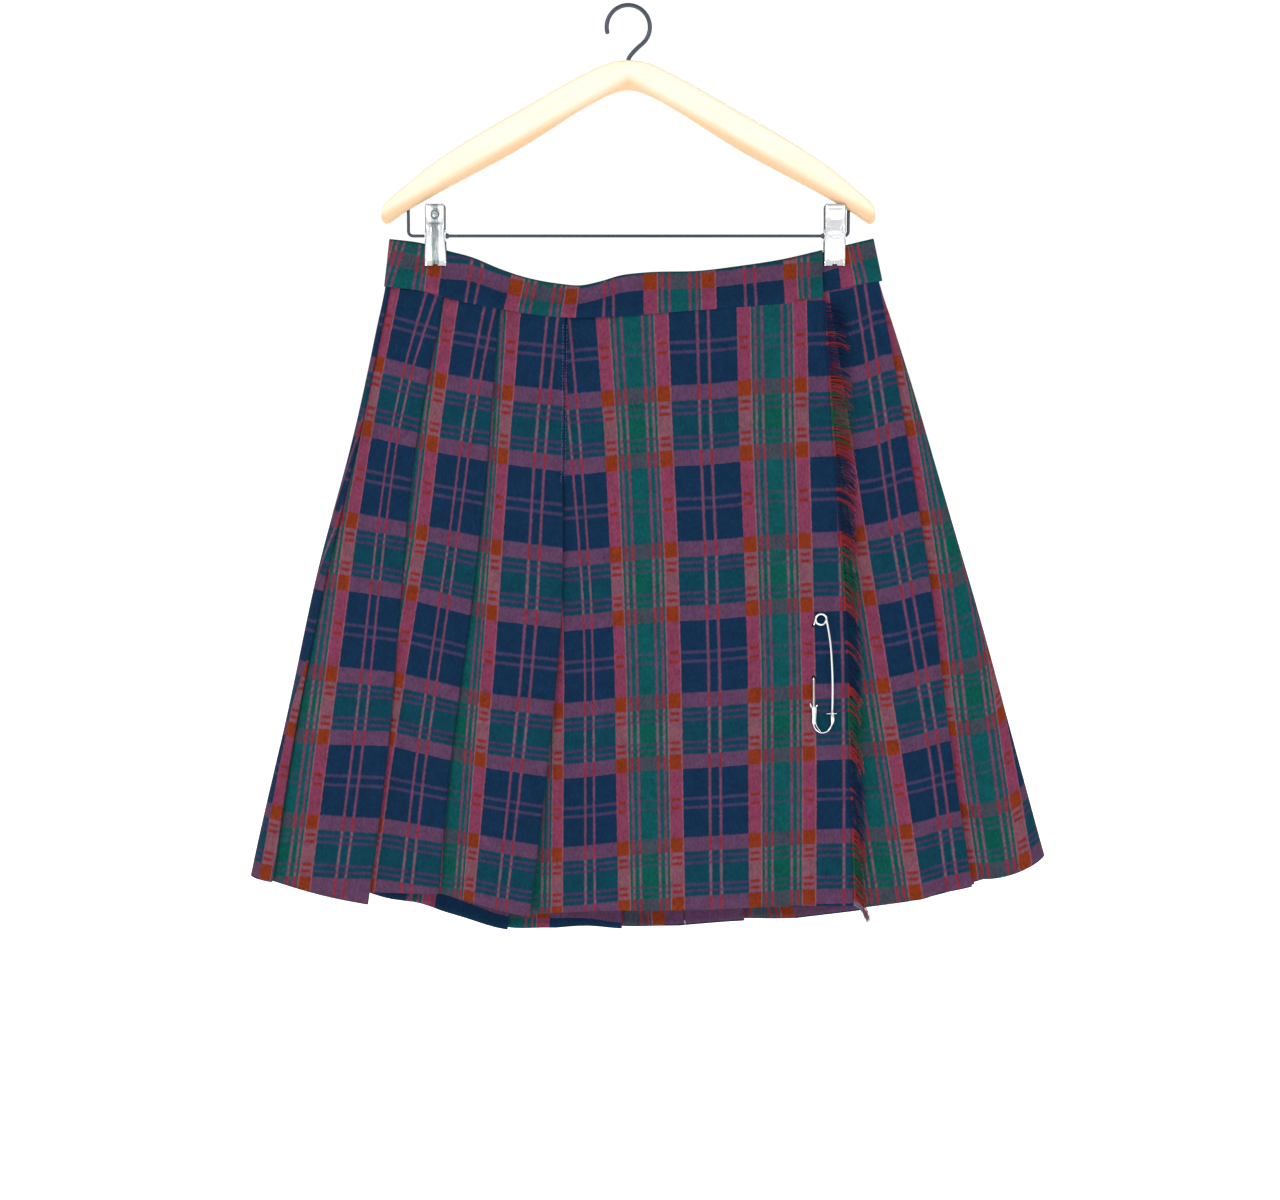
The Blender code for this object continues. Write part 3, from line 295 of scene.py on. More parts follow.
# Height above the hem, and how far up the cloth that is: the cloth leans and eases a little
WARP_HEIGHTS = (-20.0, 0.0, 8.3, 61.8, 136.5, 191.4, 268.8, 325.5, 405.9, 463.1, 502.0, 529.0, 600.0)
WARP_PLACES = (-20.0, 0.0, 8.3, 65.8, 147.3, 204.8, 286.3, 343.8, 425.3, 482.8, 522.6, 549.6, 620.6)
# How far the scales of weft and warp run on past their last known places
FAR_ARC, FAR_ROW = 2000.0, 300.0


def metres(x, y, z_from_rod):
    return (x * MM, y * MM, (z_from_rod - ROD_BELOW_HOOK) * MM)


def blend(pair, v):
    return pair[0] + (pair[1] - pair[0]) * v


def smooth_value(places, values, x):
    """A smooth curve through a table's values, read at x."""
    slopes = np.gradient(np.array(values), np.array(places))
    x = min(max(x, places[0]), places[-1])
    k = min(max(int(np.searchsorted(places, x, side="right")) - 1, 0), len(places) - 2)
    step = places[k + 1] - places[k]
    t = (x - places[k]) / step
    return float((1 + 2 * t) * (1 - t) ** 2 * values[k] + t * (1 - t) ** 2 * step * slopes[k]
                 + t * t * (3 - 2 * t) * values[k + 1] + t * t * (t - 1) * step * slopes[k + 1])


def at_level(values, v):
    return smooth_value(LEVELS, values, min(1.0, max(0.0, v)))


def along(table, x):
    places, values = zip(*table)
    return smooth_value(places, values, x)


class Plan:
    """A closed plan curve, measured by its arc from the left silhouette along the front."""

    samples = 900  # points of each half
    reach = 0.6  # how far ahead and back a tangent is taken

    def __init__(self, sides, end_depth, bulges, bulge_half_width, power):
        middle, half = (sides[0] + sides[1]) / 2, (sides[1] - sides[0]) / 2
        turned = np.linspace(0, math.pi, self.samples)
        across = middle - half * np.cos(turned)
        cap = CAP_LENGTH * end_depth
        into_cap = np.clip((np.abs(across - middle) - (half - cap)) / cap, 0, 1)
        swell = np.maximum(0, 1 - (across / bulge_half_width) ** 2) ** power
        depths = [(end_depth + bulge * swell) * np.sqrt(1 - into_cap ** 2) for bulge in bulges]
        self.x = np.concatenate([across, across[::-1][1:]])
        self.y = np.concatenate([-depths[0], depths[1][::-1][1:]])
        self.arc = np.concatenate([[0], np.cumsum(np.hypot(np.diff(self.x), np.diff(self.y)))])
        self.front = self.arc[self.samples - 1]
        self.length = self.arc[-1]

    def place(self, x, side):
        last = self.samples - 1
        if side == "front":
            return float(np.interp(x, self.x[:last + 1], self.arc[:last + 1]))
        return float(np.interp(-x, -self.x[last:], self.arc[last:]))

    def points(self, arcs, insets):
        """Points at these arcs, moved in from the curve."""
        arcs, insets = np.atleast_1d(arcs) % self.length, np.atleast_1d(insets)
        back, ahead = (arcs - self.reach) % self.length, (arcs + self.reach) % self.length
        dx = np.interp(ahead, self.arc, self.x) - np.interp(back, self.arc, self.x)
        dy = np.interp(ahead, self.arc, self.y) - np.interp(back, self.arc, self.y)
        span = np.hypot(dx, dy)
        return (np.interp(arcs, self.arc, self.x) - insets * dy / span,
                np.interp(arcs, self.arc, self.y) + insets * dx / span)

    def point(self, arc, inset):
        x, y = self.points(arc, inset)
        return float(x[0]), float(y[0])

    def on_front(self, arc):
        return 0 <= arc <= self.front or self.length <= arc <= self.length + self.front


@lru_cache(maxsize=None)
def skirt_plan(v):
    v = min(1.0, max(0.0, v))
    bulges = (blend(FRONT_BULGE, v), blend(BACK_BULGE, v))
    return Plan((at_level(LEFT_SIDE, v), at_level(RIGHT_SIDE, v)), blend(END_DEPTH, v), bulges,
                blend(BULGE_HALF_WIDTH, v), blend(BULGE_POWER, v))


def hump(x, middle, half_width, power=2):
    """One at the middle and smoothly down to nothing on both sides."""
    return np.exp(-((x - middle) / half_width) ** power)


def ripple(x, v, on_front):
    """Soft hang of the cloth, in millimetres outwards; every layer at one place moves alike.

    It grows towards the hem, lies flat round the pin, waves a little at the front's hem and puckers
    under the band.
    """
    grown = np.clip(v, 0, 1) ** 1.5
    pin_shelter = 1 - hump(x, 172, 26, 4) * hump(v, 0.61, 0.17, 4)
    soft = 1.1 * np.sin(x / 19.0 + 0.6 + 1.2 * v) + 0.8 * np.sin(x / 11.5 - 1.5 * v)
    hips = 0.5 * np.sin(x / 31.0 + 7.0 * v)
    waves = 0.0
    if on_front:
        at_hem = np.clip((v - 0.72) / 0.28, 0, 1) ** 1.5
        waves = 2.6 * at_hem * hump(x, 268, 38) * np.sin((x - 250) / 6.6)
        waves += 1.4 * at_hem * hump(x, 20, 90) * np.sin(x / 14.0 + 0.8)
    gathers = 0.35 * hump(v, 0.03, 0.03) * np.sin(x / 4.1 + 3 * np.sin(x / 37.0)) * (v > 0)
    return (grown * soft + hips * np.clip(v * 4, 0, 1) * (1 - 0.5 * grown) + waves + gathers) * pin_shelter


def fold_pitch(fold, v):
    return PLEAT_PITCH + fold[4] * v * v


def fold_arc(fold, v):
    plan = skirt_plan(v)
    laps = 1 if fold[0] in LAST_FOLDS else 0
    return plan.place(at_level(fold[2], v), fold[1]) + laps * plan.length


def weft_scale(name, v, start, end):
    """Arcs, and the places along the cloth that are known there, on a face at this level."""
    plan = skirt_plan(v)
    laps = plan.length if name in ("C", "B", "A", "edge") else 0.0
    known = []
    for places, xs in STRIPES.get(name, ()):
        known.append((plan.place(np.interp(v, LINE_LEVELS, xs), "front") + laps, blend(places, v)))
    if name in FACE_STARTS:
        known.append((start, blend(FACE_STARTS[name], v)))
    if name in FACE_ENDS:
        known.append((end, float(np.interp(v, END_LEVELS, FACE_ENDS[name]))))
    known.sort()
    before = (known[0][0] - FAR_ARC, known[0][1] - FAR_ARC)
    after = (known[-1][0] + FAR_ARC, known[-1][1] + FAR_ARC)
    return zip(before, *known, after)


TURN_ANGLES = (-68, -45, -22, 0, 22, 45, 68)
HIDDEN_COLUMNS = 7
COLUMN_WIDTH = 3.6
LEAST_COLUMNS = 6
PARTED = 0.95  # share of the hem's step at which two pieces of cloth part inside a fold
LAST_FACE_REACH = 300.0
# Whole repeats of the weft that are folded away behind each face
repeats = {}


@lru_cache(maxsize=None)
def face_columns(name):
    """How many columns a face has, from its width at the hem."""
    if name == "edge":
        start, end = fold_arc(FOLDS[-1], 1.0), skirt_plan(1.0).place(APRON_EDGE[-1], "front")
        return int((end + skirt_plan(1.0).length - start) / COLUMN_WIDTH)
    k = FOLD_NAMES.index(name)
    start = fold_arc(FOLDS[k - 1], 1.0) if k else skirt_plan(1.0).place(APRON_EDGE[-1], "front")
    return max(LEAST_COLUMNS, int((fold_arc(FOLDS[k], 1.0) - start) / COLUMN_WIDTH))


def wrap_columns(v):
    """The whole wrap at one level, and where its pieces part.

    Each row is an arc, an inset, a face's number, its share of the next hem's height, and its place
    along the cloth.
    """
    plan = skirt_plan(v)
    level = min(1.0, max(0.0, v))
    columns, cuts = [], {}
    lap = plan.place(at_level(APRON_EDGE, level), "front")
    first = plan.place(at_level(UNDER_START, level), "front")
    arcs_known, places_known = weft_scale("E", level, lap, fold_arc(FOLDS[0], level))
    for s in np.linspace(0, 1, UNDER_COLUMNS)[:-1]:
        arc = blend((first, lap), s)
        inset = blend((blend(UNDER_INSET, level), UNDER_CLEARANCE), s)
        columns.append((arc, inset, 0, 0.0, np.interp(arc, arcs_known, places_known)))
    start, start_inset, offset = lap, UNDER_CLEARANCE, 0.0
    for number, fold in enumerate(FOLDS):
        name = fold[0]
        end = fold_arc(fold, level)
        pitch, half = fold_pitch(fold, level), blend(fold[3], level)
        inner, outer = end - half + pitch / 2, end - pitch / 2
        arcs_known, places_known = weft_scale(name, level, start, end)

        def inset(arc):
            return start_inset - start_inset * (arc - start) / (end - start)

        def weft(arc):
            return float(np.interp(arc, arcs_known, places_known)) + offset

        def turn_back(middle, way, depth, share, place):
            for angle in TURN_ANGLES:
                arc = middle + way * pitch / 2 * math.cos(math.radians(angle))
                deep = depth + pitch / 2 * math.sin(math.radians(angle))
                columns.append((arc, deep, number, share, place))

        for arc in np.linspace(start, inner, face_columns(name) + 1)[:-1]:
            columns.append((arc, inset(arc), number, 0.0, weft(arc)))
        stretch = np.linspace(inner, outer, HIDDEN_COLUMNS)
        columns += [(arc, inset(arc), number, 0.0, weft(arc)) for arc in stretch]
        place_end = weft(end)
        next_name = FOLD_NAMES[number + 1]
        next_end = end + LAST_FACE_REACH
        if number + 1 < len(FOLDS):
            next_end = fold_arc(FOLDS[number + 1], level)
        next_known = weft_scale(next_name, level, end, next_end)
        next_place = float(np.interp(end, *next_known))
        hidden = 2 * (end - inner)
        if name not in repeats:
            repeats[name] = round((place_end + hidden - next_place) / WEFT_REPEAT) * WEFT_REPEAT
        next_place += repeats[name]
        turn_back(outer, 1, inset(outer) + pitch / 2, 0.0, place_end)
        for arc, share in zip(stretch[::-1], np.linspace(0, 0.5, HIDDEN_COLUMNS)):
            gone = (end - arc) / hidden
            columns.append((arc, inset(arc) + pitch, number, share, blend((place_end, next_place), gone)))
        turn_back(inner, -1, inset(inner) + 1.5 * pitch, 0.5, blend((place_end, next_place), 0.5))
        middle = (stretch[-2] + stretch[-1]) / 2
        third_layer = list(zip(stretch[:-1], np.linspace(0.5, 0.9, HIDDEN_COLUMNS - 1)))
        third_layer += [(middle - SEAM_GAP / 2, PARTED), (middle + SEAM_GAP / 2, PARTED), (outer, 1.0)]
        for arc, share in third_layer:
            if share == PARTED and name not in cuts:
                cuts[name] = len(columns)
            gone = 0.5 + (arc - inner) / hidden
            columns.append((arc, inset(arc) + 2 * pitch, number, share, blend((place_end, next_place), gone)))
        offset = repeats[name]
        start, start_inset = end, 2 * pitch
    end = plan.length + lap
    arcs_known, places_known = weft_scale("edge", level, start, end)
    for arc in np.linspace(start, end, face_columns("edge") + 1):
        part = (arc - start) / (end - start)
        inset = blend((start_inset, -APRON_LIFT), part)
        columns.append((arc, inset, len(FOLDS), 0.0, np.interp(arc, arcs_known, places_known) + offset))
    return np.array(columns), cuts


def seam_height(plan, arc, name):
    x = plan.point(arc, 0)[0]
    if not plan.on_front(arc):
        return along(BACK_SEAM, x)
    return along(UNDER_SEAM if name in ("E", "F1") else OVER_SEAM, x)


def hem_height(plan, arc, name, travelled):
    x = plan.point(arc, 0)[0]
    if not plan.on_front(arc):
        settled = min(1.0, max(0.0, travelled)) if name.startswith("F") else 0.8
        return along(BACK_HEM, x) + blend(BACK_HEM_STEP, settled)
    return along(FRONT_HEMS[name], x)


ROW_LEVELS = np.concatenate([[-0.006, 0.0, 0.008], np.linspace(0.02, 1.0, 94)])
seam_columns, cuts = wrap_columns(0.0)
hem_columns, _ = wrap_columns(1.0)
reaches, start = {}, 0.0
for fold in FOLDS:
    end = fold_arc(fold, 1.0)
    reaches[fold[0]] = (start, end)
    start = end
# Inside a fold the cloth passes from one face to the next, and so does the height of its hem
column_heights = []
for (arc0, _, number, _, _), (arc1, _, _, share, _) in zip(seam_columns, hem_columns):
    name = FOLD_NAMES[int(number)]
    after = FOLD_NAMES[min(int(number) + 1, len(FOLDS))]
    first, last = reaches.get(name, (0.0, math.inf))
    hem = hem_height(skirt_plan(1.0), arc1, name, (arc1 - first) / (last - first))
    if share > 0:
        hem = blend((hem, hem_height(skirt_plan(1.0), arc1, after, 0.0)), share)
    seam = seam_height(skirt_plan(0.0), arc0, name if share < PARTED else after) - WAIST_GAP / 2
    offsets = zip(WARP_OFFSET.get(name, (0, 0)), WARP_OFFSET.get(after, (0, 0)))
    column_heights.append((seam, hem, *[blend(pair, share) for pair in offsets]))
column_heights = np.array(column_heights)


def pleat_warp(x, z):
    """Place up the cloth on the left pleats, whose warp runs on unbroken from fold to fold."""
    heights = []
    for crossings in zip(*WARP_LINES):
        xs, zs = zip(*crossings)
        slope = (zs[1] - zs[0]) / (xs[1] - xs[0])
        heights.append(float(np.interp(x, xs, zs)) + min(0.0, x - xs[0]) * slope)
    heights = [heights[0] - FAR_ROW] + heights + [heights[-1] + FAR_ROW]
    rows = (WARP_ROWS[0] - FAR_ROW, *WARP_ROWS, WARP_ROWS[-1] + FAR_ROW)
    return max(HEM_ROW, float(np.interp(z, heights, rows)))


# How far each column belongs to those pleats: it comes in over fold D and goes out over fold A
fold_numbers, fold_shares = seam_columns[:, 2], hem_columns[:, 3]
first_pleat, last_pleat = FOLD_NAMES.index("C"), FOLD_NAMES.index("A")
on_pleats = ((fold_numbers >= first_pleat) & (fold_numbers <= last_pleat)).astype(float)
on_pleats[fold_numbers == last_pleat] = 1 - fold_shares[fold_numbers == last_pleat]
on_pleats[fold_numbers == first_pleat - 1] = fold_shares[fold_numbers == first_pleat - 1]
seams, hems, seam_offsets, hem_offsets = column_heights.T
apron = cuts["A"] + 1
grid, cloth_places = [], []
for v in ROW_LEVELS:
    rows, _ = wrap_columns(float(v))
    plan = skirt_plan(float(v))
    arcs = rows[:, 0]
    bare_x, _ = plan.points(arcs, rows[:, 1])
    turned = arcs % plan.length
    out = np.where(turned < plan.front, ripple(bare_x, v, True), ripple(bare_x, v, False))
    x, y = plan.points(arcs, rows[:, 1] - out)
    z = blend((seams, hems), v)
    height = z - hems + blend((seam_offsets, hem_offsets), v)
    height[apron:] += [blend([along(table, px) for table in APRON_WARP], v) for px in x[apron:]]
    grid.append(np.stack([x, y, z - ROD_BELOW_HOOK], 1) * MM)
    warp_place = np.interp(height, WARP_HEIGHTS, WARP_PLACES)
    for k in np.nonzero(on_pleats)[0]:
        warp_place[k] += on_pleats[k] * (pleat_warp(x[k], z[k]) - warp_place[k])
    cloth_places.append(np.stack([rows[:, 4], warp_place], 1) * MM)
grid, cloth_places = np.array(grid), np.array(cloth_places)


def plain_mesh(item):
    """The piece with its modifiers made part of its mesh, shaded smooth."""
    bpy.context.view_layer.update()
    graph = bpy.context.evaluated_depsgraph_get()
    mesh = bpy.data.meshes.new_from_object(item.evaluated_get(graph))
    item.modifiers.clear()
    item.data = mesh
    mesh.name = item.name
    mesh.shade_smooth()
    return item


def cloth_mesh(name, points, places, thickness, edge_rounding=0.0, rim=None):
    """A grid of points as a wall of cloth, its places in the weave kept in the UV map."""
    height, width = points.shape[:2]
    mesh = bpy.data.meshes.new(name)
    faces = []
    for i in range(height - 1):
        for j in range(width - 1):
            a = i * width + j
            faces.append((a, a + width, a + width + 1, a + 1))
    mesh.from_pydata(points.reshape(-1, 3).tolist(), [], faces)
    layers = [("cloth", places.reshape(-1, 2))]
    if rim is not None:
        layers.append(("rim", rim.reshape(-1, 2)))
    corners = np.array(faces).reshape(-1)
    for layer_name, values in layers:
        layer = mesh.uv_layers.new(name=layer_name)
        layer.data.foreach_set("uv", values[corners].reshape(-1))
    sheet = bpy.data.objects.new(name, mesh)
    bpy.context.scene.collection.objects.link(sheet)
    wall = sheet.modifiers.new("wall", "SOLIDIFY")
    wall.thickness = thickness * MM
    wall.offset = 0
    wall.use_even_offset = True
    if edge_rounding:
        rounding = sheet.modifiers.new("rounding", "BEVEL")
        rounding.width = edge_rounding * MM
        rounding.segments = 2
        rounding.limit_method = "ANGLE"
        rounding.angle_limit = math.radians(60)
    return plain_mesh(sheet)


def cut_size(points):
    """Greatest width and length of a grid of cloth, and its area, in metres."""
    widths = np.linalg.norm(np.diff(points, axis=1), axis=2)
    lengths = np.linalg.norm(np.diff(points, axis=0), axis=2)
    cells = (widths[1:] + widths[:-1]) / 2 * (lengths[:, 1:] + lengths[:, :-1]) / 2
    width, length = float(widths.sum(1).max()), float(lengths.sum(0).max())
    return round(width, 3), round(length, 3), round(float(cells.sum()), 4)


# Worsted wool yarn, dyed in the hank and woven as a 2/2 twill. Where two colours cross they mix in
# the eye, because half of each shows; the surface is matt, with a fine diagonal rib and a soft nap.
# The rib is drawn at 1.3 mm where the real one is about 0.7 mm, so that it shows.
# Stripes are given by where they start in the repeat: n navy, g green, P and p wide and thin pink,
# M and m wide and thin mauve.
WEFT_STRIPES = (
    (0.0, "P"), (12.0, "g"), (15.0, "p"), (17.0, "g"), (21.0, "p"), (23.0, "g"), (39.0, "p"), (41.0, "g"),
    (45.0, "p"), (47.0, "g"), (50.0, "P"), (62.0, "n"), (86.0, "p"), (88.2, "n"), (95.8, "p"), (98.0, "n"),
)
WARP_STRIPES = (
    (0.0, "M"), (14.0, "g"), (17.8, "m"), (20.4, "g"), (23.9, "m"), (26.5, "g"), (45.0, "m"), (47.6, "g"),
    (51.1, "m"), (53.7, "g"), (57.5, "M"), (71.5, "n"), (99.5, "m"), (102.3, "n"), (108.1, "m"), (110.9, "n"),
)
WARP_SHIFT = -1.3
STRIPE_BLUR = 0.7
# The middle of each wide pink stripe, where crossing thin rows show as dashes
WIDE_MIDDLES = ((0.0, "n"), (1.8, "P"), (10.2, "n"), (51.8, "P"), (60.2, "n"))
MASKS = {"n": (0, 0, 0, 1), "g": (1, 0, 0, 1), "P": (0, 1, 0, 1), "M": (0, 1, 0, 1), "p": (0, 0, 1, 1),
         "m": (0, 0, 1, 1)}
CROSSINGS = {  # colours where weft and warp cross
    "navy": "#0f2f4e", "green_weft": "#0a5357", "green_warp": "#0a4152", "green": "#06554b",
    "mauve": "#5f3f5e", "mauve_green": "#404753", "thin_mauve": "#41395c", "thin_mauve_green": "#2e4a57",
    "rose": "#843b58", "dusty_rose": "#80505f", "thin_rose": "#74445f", "thin_rose_green": "#7a5a68",
    "orange": "#853416", "brick": "#852e20", "thin_over_rose": "#84465a", "oval_red": "#8e2c36",
    "salmon": "#a85f6a", "top_edge_shade": "#0a3b3a",
}
YARN_WOBBLE = 1.4
RIB_PITCH = 0.0013
BASE_SHADE, RIB_SHADE, NAP_SHADE, SLUB_SHADE = 0.14, 0.06, 0.8, 0.36


def stripe_ramp(tree, place, stripes, repeat):
    """Colour ramp whose red, green and blue say which stripe of the repeat this is."""
    ramp = node(tree, "ShaderNodeValToRGB", None, {"Fac": maths(tree, "FRACT", place)})
    stops = [(0.0, stripes[0][1])]
    for (_, before), (edge, after) in zip(stripes, stripes[1:]):
        stops += [((edge - STRIPE_BLUR) / repeat, before), ((edge + STRIPE_BLUR) / repeat, after)]
    stops.append((1.0, stripes[-1][1]))
    elements = ramp.color_ramp.elements
    elements[0].position, elements[0].color = 0.0, MASKS[stops[0][1]]
    elements[1].position, elements[1].color = 1.0, MASKS[stops[-1][1]]
    for place_in_repeat, stripe in stops[1:-1]:
        element = elements.new(place_in_repeat)
        element.color = MASKS[stripe]
    return node(tree, "ShaderNodeSeparateColor", None, {0: ramp.outputs["Color"]}).outputs


def mixed(tree, factor, low, high):
    """Mix of two colours; each is a socket, a colour or the name of a crossing."""
    low, high = (linear(CROSSINGS[c]) if isinstance(c, str) else c for c in (low, high))
    return node(tree, "ShaderNodeMix", {"data_type": "RGBA"}, {0: factor, 6: low, 7: high}).outputs[2]


def object_coordinates(tree):
    return node(tree, "ShaderNodeTexCoord").outputs["Object"]


def map_place(tree, layer):
    """The X, Y and Z outputs of the place that a piece's own UV layer gives."""
    return components(tree, node(tree, "ShaderNodeUVMap", {"uv_map": layer}).outputs[0])


def noise(tree, place, scale, more=None):
    return node(tree, "ShaderNodeTexNoise", None, {"Vector": place, "Scale": scale, **(more or {})})


def scaled_colour(tree, colour, factor):
    return node(tree, "ShaderNodeVectorMath", {"operation": "SCALE"}, {0: colour, "Scale": factor}).outputs[0]


def add_bump(tree, shader, height, strength, distance):
    bump = node(tree, "ShaderNodeBump", None, {"Height": height, "Strength": strength, "Distance": distance})
    tree.links.new(bump.outputs[0], shader.inputs["Normal"])


tartan, tree, shader = new_material("worsted_wool_twill", {
    "Roughness": 0.9, "Sheen Weight": 0.02, "Specular IOR Level": 0.05})
thread_place = map_place(tree, "cloth")
object_place = object_coordinates(tree)
wobble = noise(tree, object_place, 420.0, {"Detail": 2.0})
wobbles = node(tree, "ShaderNodeSeparateColor", None, {0: wobble.outputs["Color"]}).outputs
turns = []
for axis, channel, repeat, shift in (("X", 0, WEFT_REPEAT, 0.0), ("Y", 1, WARP_REPEAT, WARP_SHIFT)):
    in_mm = maths(tree, "MULTIPLY_ADD", thread_place[axis], 1 / MM, shift - YARN_WOBBLE / 2)
    moved = maths(tree, "MULTIPLY_ADD", wobbles[channel], YARN_WOBBLE, in_mm)
    turns.append(maths(tree, "DIVIDE", moved, repeat))
weft_green, weft_wide, weft_thin = stripe_ramp(tree, turns[0], WEFT_STRIPES, WEFT_REPEAT)
warp_green, warp_wide, warp_thin = stripe_ramp(tree, turns[1], WARP_STRIPES, WARP_REPEAT)
wide_middle = stripe_ramp(tree, turns[0], WIDE_MIDDLES, WEFT_REPEAT)[1]
ground = mixed(tree, weft_green, mixed(tree, warp_green, "navy", "green_warp"),
               mixed(tree, warp_green, "green_weft", "green"))
ground = mixed(tree, warp_wide, ground, mixed(tree, weft_green, "mauve", "mauve_green"))
ground = mixed(tree, warp_thin, ground, mixed(tree, weft_green, "thin_mauve", "thin_mauve_green"))
wide = mixed(tree, warp_green, "rose", "dusty_rose")
dash = mixed(tree, wide_middle, "thin_over_rose", "brick")
wide = mixed(tree, warp_thin, mixed(tree, warp_wide, wide, "orange"), dash)
thin = mixed(tree, warp_wide, mixed(tree, warp_green, "thin_rose", "thin_rose_green"), "oval_red")
weave = mixed(tree, weft_thin, mixed(tree, weft_wide, ground, wide), thin)
# A paler line along both edges of a wide pink stripe, where its blur lies
rest_of_stripe = maths(tree, "SUBTRACT", 1.0, weft_wide)
outline = maths(tree, "MULTIPLY", weft_wide, rest_of_stripe)
weave = mixed(tree, maths(tree, "MULTIPLY", outline, 2.2, clamp=True), weave, "salmon")
# Painted shade: a dark green line along the band's folded top edge
weave = mixed(tree, map_place(tree, "rim")["X"], weave, "top_edge_shade")
diagonal = maths(tree, "ADD", thread_place["X"], thread_place["Y"])
rib = maths(tree, "SINE", maths(tree, "MULTIPLY", diagonal, 2 * math.pi / RIB_PITCH))
nap_place = node(tree, "ShaderNodeMapping", None, {"Vector": object_place, "Scale": (1.0, 1.0, 0.5)})
nap = noise(tree, nap_place.outputs[0], 620.0, {"Detail": 4.0}).outputs["Fac"]
slub = noise(tree, object_place, 90.0, {"Detail": 3.0}).outputs["Fac"]
cloth_shade = maths(tree, "MULTIPLY_ADD", rib, RIB_SHADE, BASE_SHADE)
cloth_shade = maths(tree, "MULTIPLY_ADD", nap, NAP_SHADE, cloth_shade)
cloth_shade = maths(tree, "MULTIPLY_ADD", slub, SLUB_SHADE, cloth_shade)
tree.links.new(scaled_colour(tree, weave, cloth_shade), shader.inputs["Base Color"])
add_bump(tree, shader, maths(tree, "MULTIPLY_ADD", rib, 0.5, nap), 0.35, 0.0004)

skirt_pieces = {}
first = 0
for name, last_fold in CLOTH_PIECES:
    last = cuts[last_fold] + 1 if last_fold else grid.shape[1]
    piece = cloth_mesh(name + "_cloth", grid[:, first:last], cloth_places[:, first:last], CLOTH)
    piece.data.materials.append(tartan)
    width, length, area = cut_size(grid[:, first:last])
    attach(piece, "root")
    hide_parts(name)
    skirt_pieces[name] = piece
    first = last
over_apron_cut = width, length, area


# Waistband
# A strip of the same cloth folded double, about forty millimetres deep, sewn over the top of the
# skirt. It is cut straight, so that its own checks stand square to its edges; along its folded upper
# edge a dark green line is painted in as the fold's shade. The clips press it flat at both ends.
BAND = 2.2
BAND_PITCH = 3.1
BAND_PARTS_X = -60.0
BAND_JOINT_X = 192.0
BAND_PINCH_ROWS = (0.2, 0.38, 0.55)
BAND_TOP_SIDES = (-211.0, 216.5)
BAND_TOP_DEPTH = 1.8
BAND_TOP_HALF_WIDTH = 163.0
BAND_ROWS = 15
OVER_TOP = (
    (-213.0, -2.5), (-180.0, -7.0), (-160.0, -13.0), (-139.0, -18.6), (-113.0, -29.4), (-95.0, -35.7),
    (-60.0, -43.0), (-42.0, -44.6), (-25.0, -41.4), (-7.0, -36.2), (15.0, -33.6), (63.0, -31.7),
    (98.0, -27.0), (133.0, -21.3), (172.0, -12.5),
)
UNDER_TOP = (
    (-100.0, -38.0), (-75.0, -43.0), (-40.0, -48.5), (0.0, -40.0), (40.0, -36.5), (98.0, -30.5),
    (133.0, -24.5), (160.0, -18.0), (191.0, -8.5), (217.0, -2.3),
)
BACK_TOP = (
    (-213.0, -2.5), (-184.0, -9.0), (-150.0, -24.0), (-80.0, -53.0), (0.0, -63.0),
    (90.0, -47.0), (150.0, -22.0), (190.0, -9.0), (217.0, -2.3),
)
PLAN_SEAM = OVER_SEAM[:-1] + ((145.0, -59.9), (192.0, -46.0), (225.0, -40.0))
PLAN_TOP = OVER_TOP[:-1] + ((160.0, -16.0), (191.0, -8.5), (217.0, -2.3))
# Where stripes of the weft lie: place along the cloth, X at the upper edge, X at the seam
OVER_BAND_STRIPES = (
    (-107.0, -205.0, -216.0), (-100.0, -197.5, -210.5), (-82.0, -184.5, -190.3), (-66.0, -170.5, -175.0),
    (-34.9, -138.0, -143.5), (-25.1, -128.5, -136.0), (6.0, -96.5, -103.5), (56.0, -48.5, -52.5),
    (87.1, -20.0, -21.3), (96.9, -13.1, -13.1), (128.0, 19.3, 19.8), (178.0, 69.2, 70.1),
    (209.1, 101.8, 102.8), (218.9, 110.3, 111.7), (250.0, 142.5, 143.5), (266.0, 159.0, 159.8),
    (281.0, 174.0, 174.8),
)
UNDER_BAND_STRIPES = ((-24.0, 161.0, 164.0), (6.0, 191.4, 194.3), (16.0, 197.0, 205.4), (22.0, 202.4, 210.7),
                      (37.0, 217.4, 225.7))
# How far the mauve row lies below the upper edge, by X
MAUVE_BELOW_TOP = (
    (-213.0, 15.6), (-172.0, 18.5), (-135.0, 13.2), (-100.0, 11.2), (-50.0, 10.3), (20.0, 8.5), (68.0, 9.2),
    (142.0, 12.4), (172.0, 16.8),
)
UNDER_MAUVE_BELOW_TOP, BACK_MAUVE_BELOW_TOP = 9.5, 12.0
MAUVE_PLACE = 8.3
EDGE_SHADE_DEPTH = 1.7
BAND_ROUNDING = 0.75
BAND_GUIDE_POINTS = 1500
SILHOUETTE_CROWDING, SILHOUETTE_REACH = 5, 9
FAR_PLACE = 900


@lru_cache(maxsize=None)
def band_plan(w):
    pinch = float(np.interp(w, BAND_PINCH_ROWS, (0.0, 0.5, 1.0)))
    sides = [blend(pair, w) for pair in zip((LEFT_SIDE[0], RIGHT_SIDE[0]), BAND_TOP_SIDES)]
    return Plan(sides, blend((END_DEPTH[0], BAND_TOP_DEPTH), pinch), (FRONT_BULGE[0], BACK_BULGE[0]),
                blend((BULGE_HALF_WIDTH[0], BAND_TOP_HALF_WIDTH), pinch), BULGE_POWER[0])


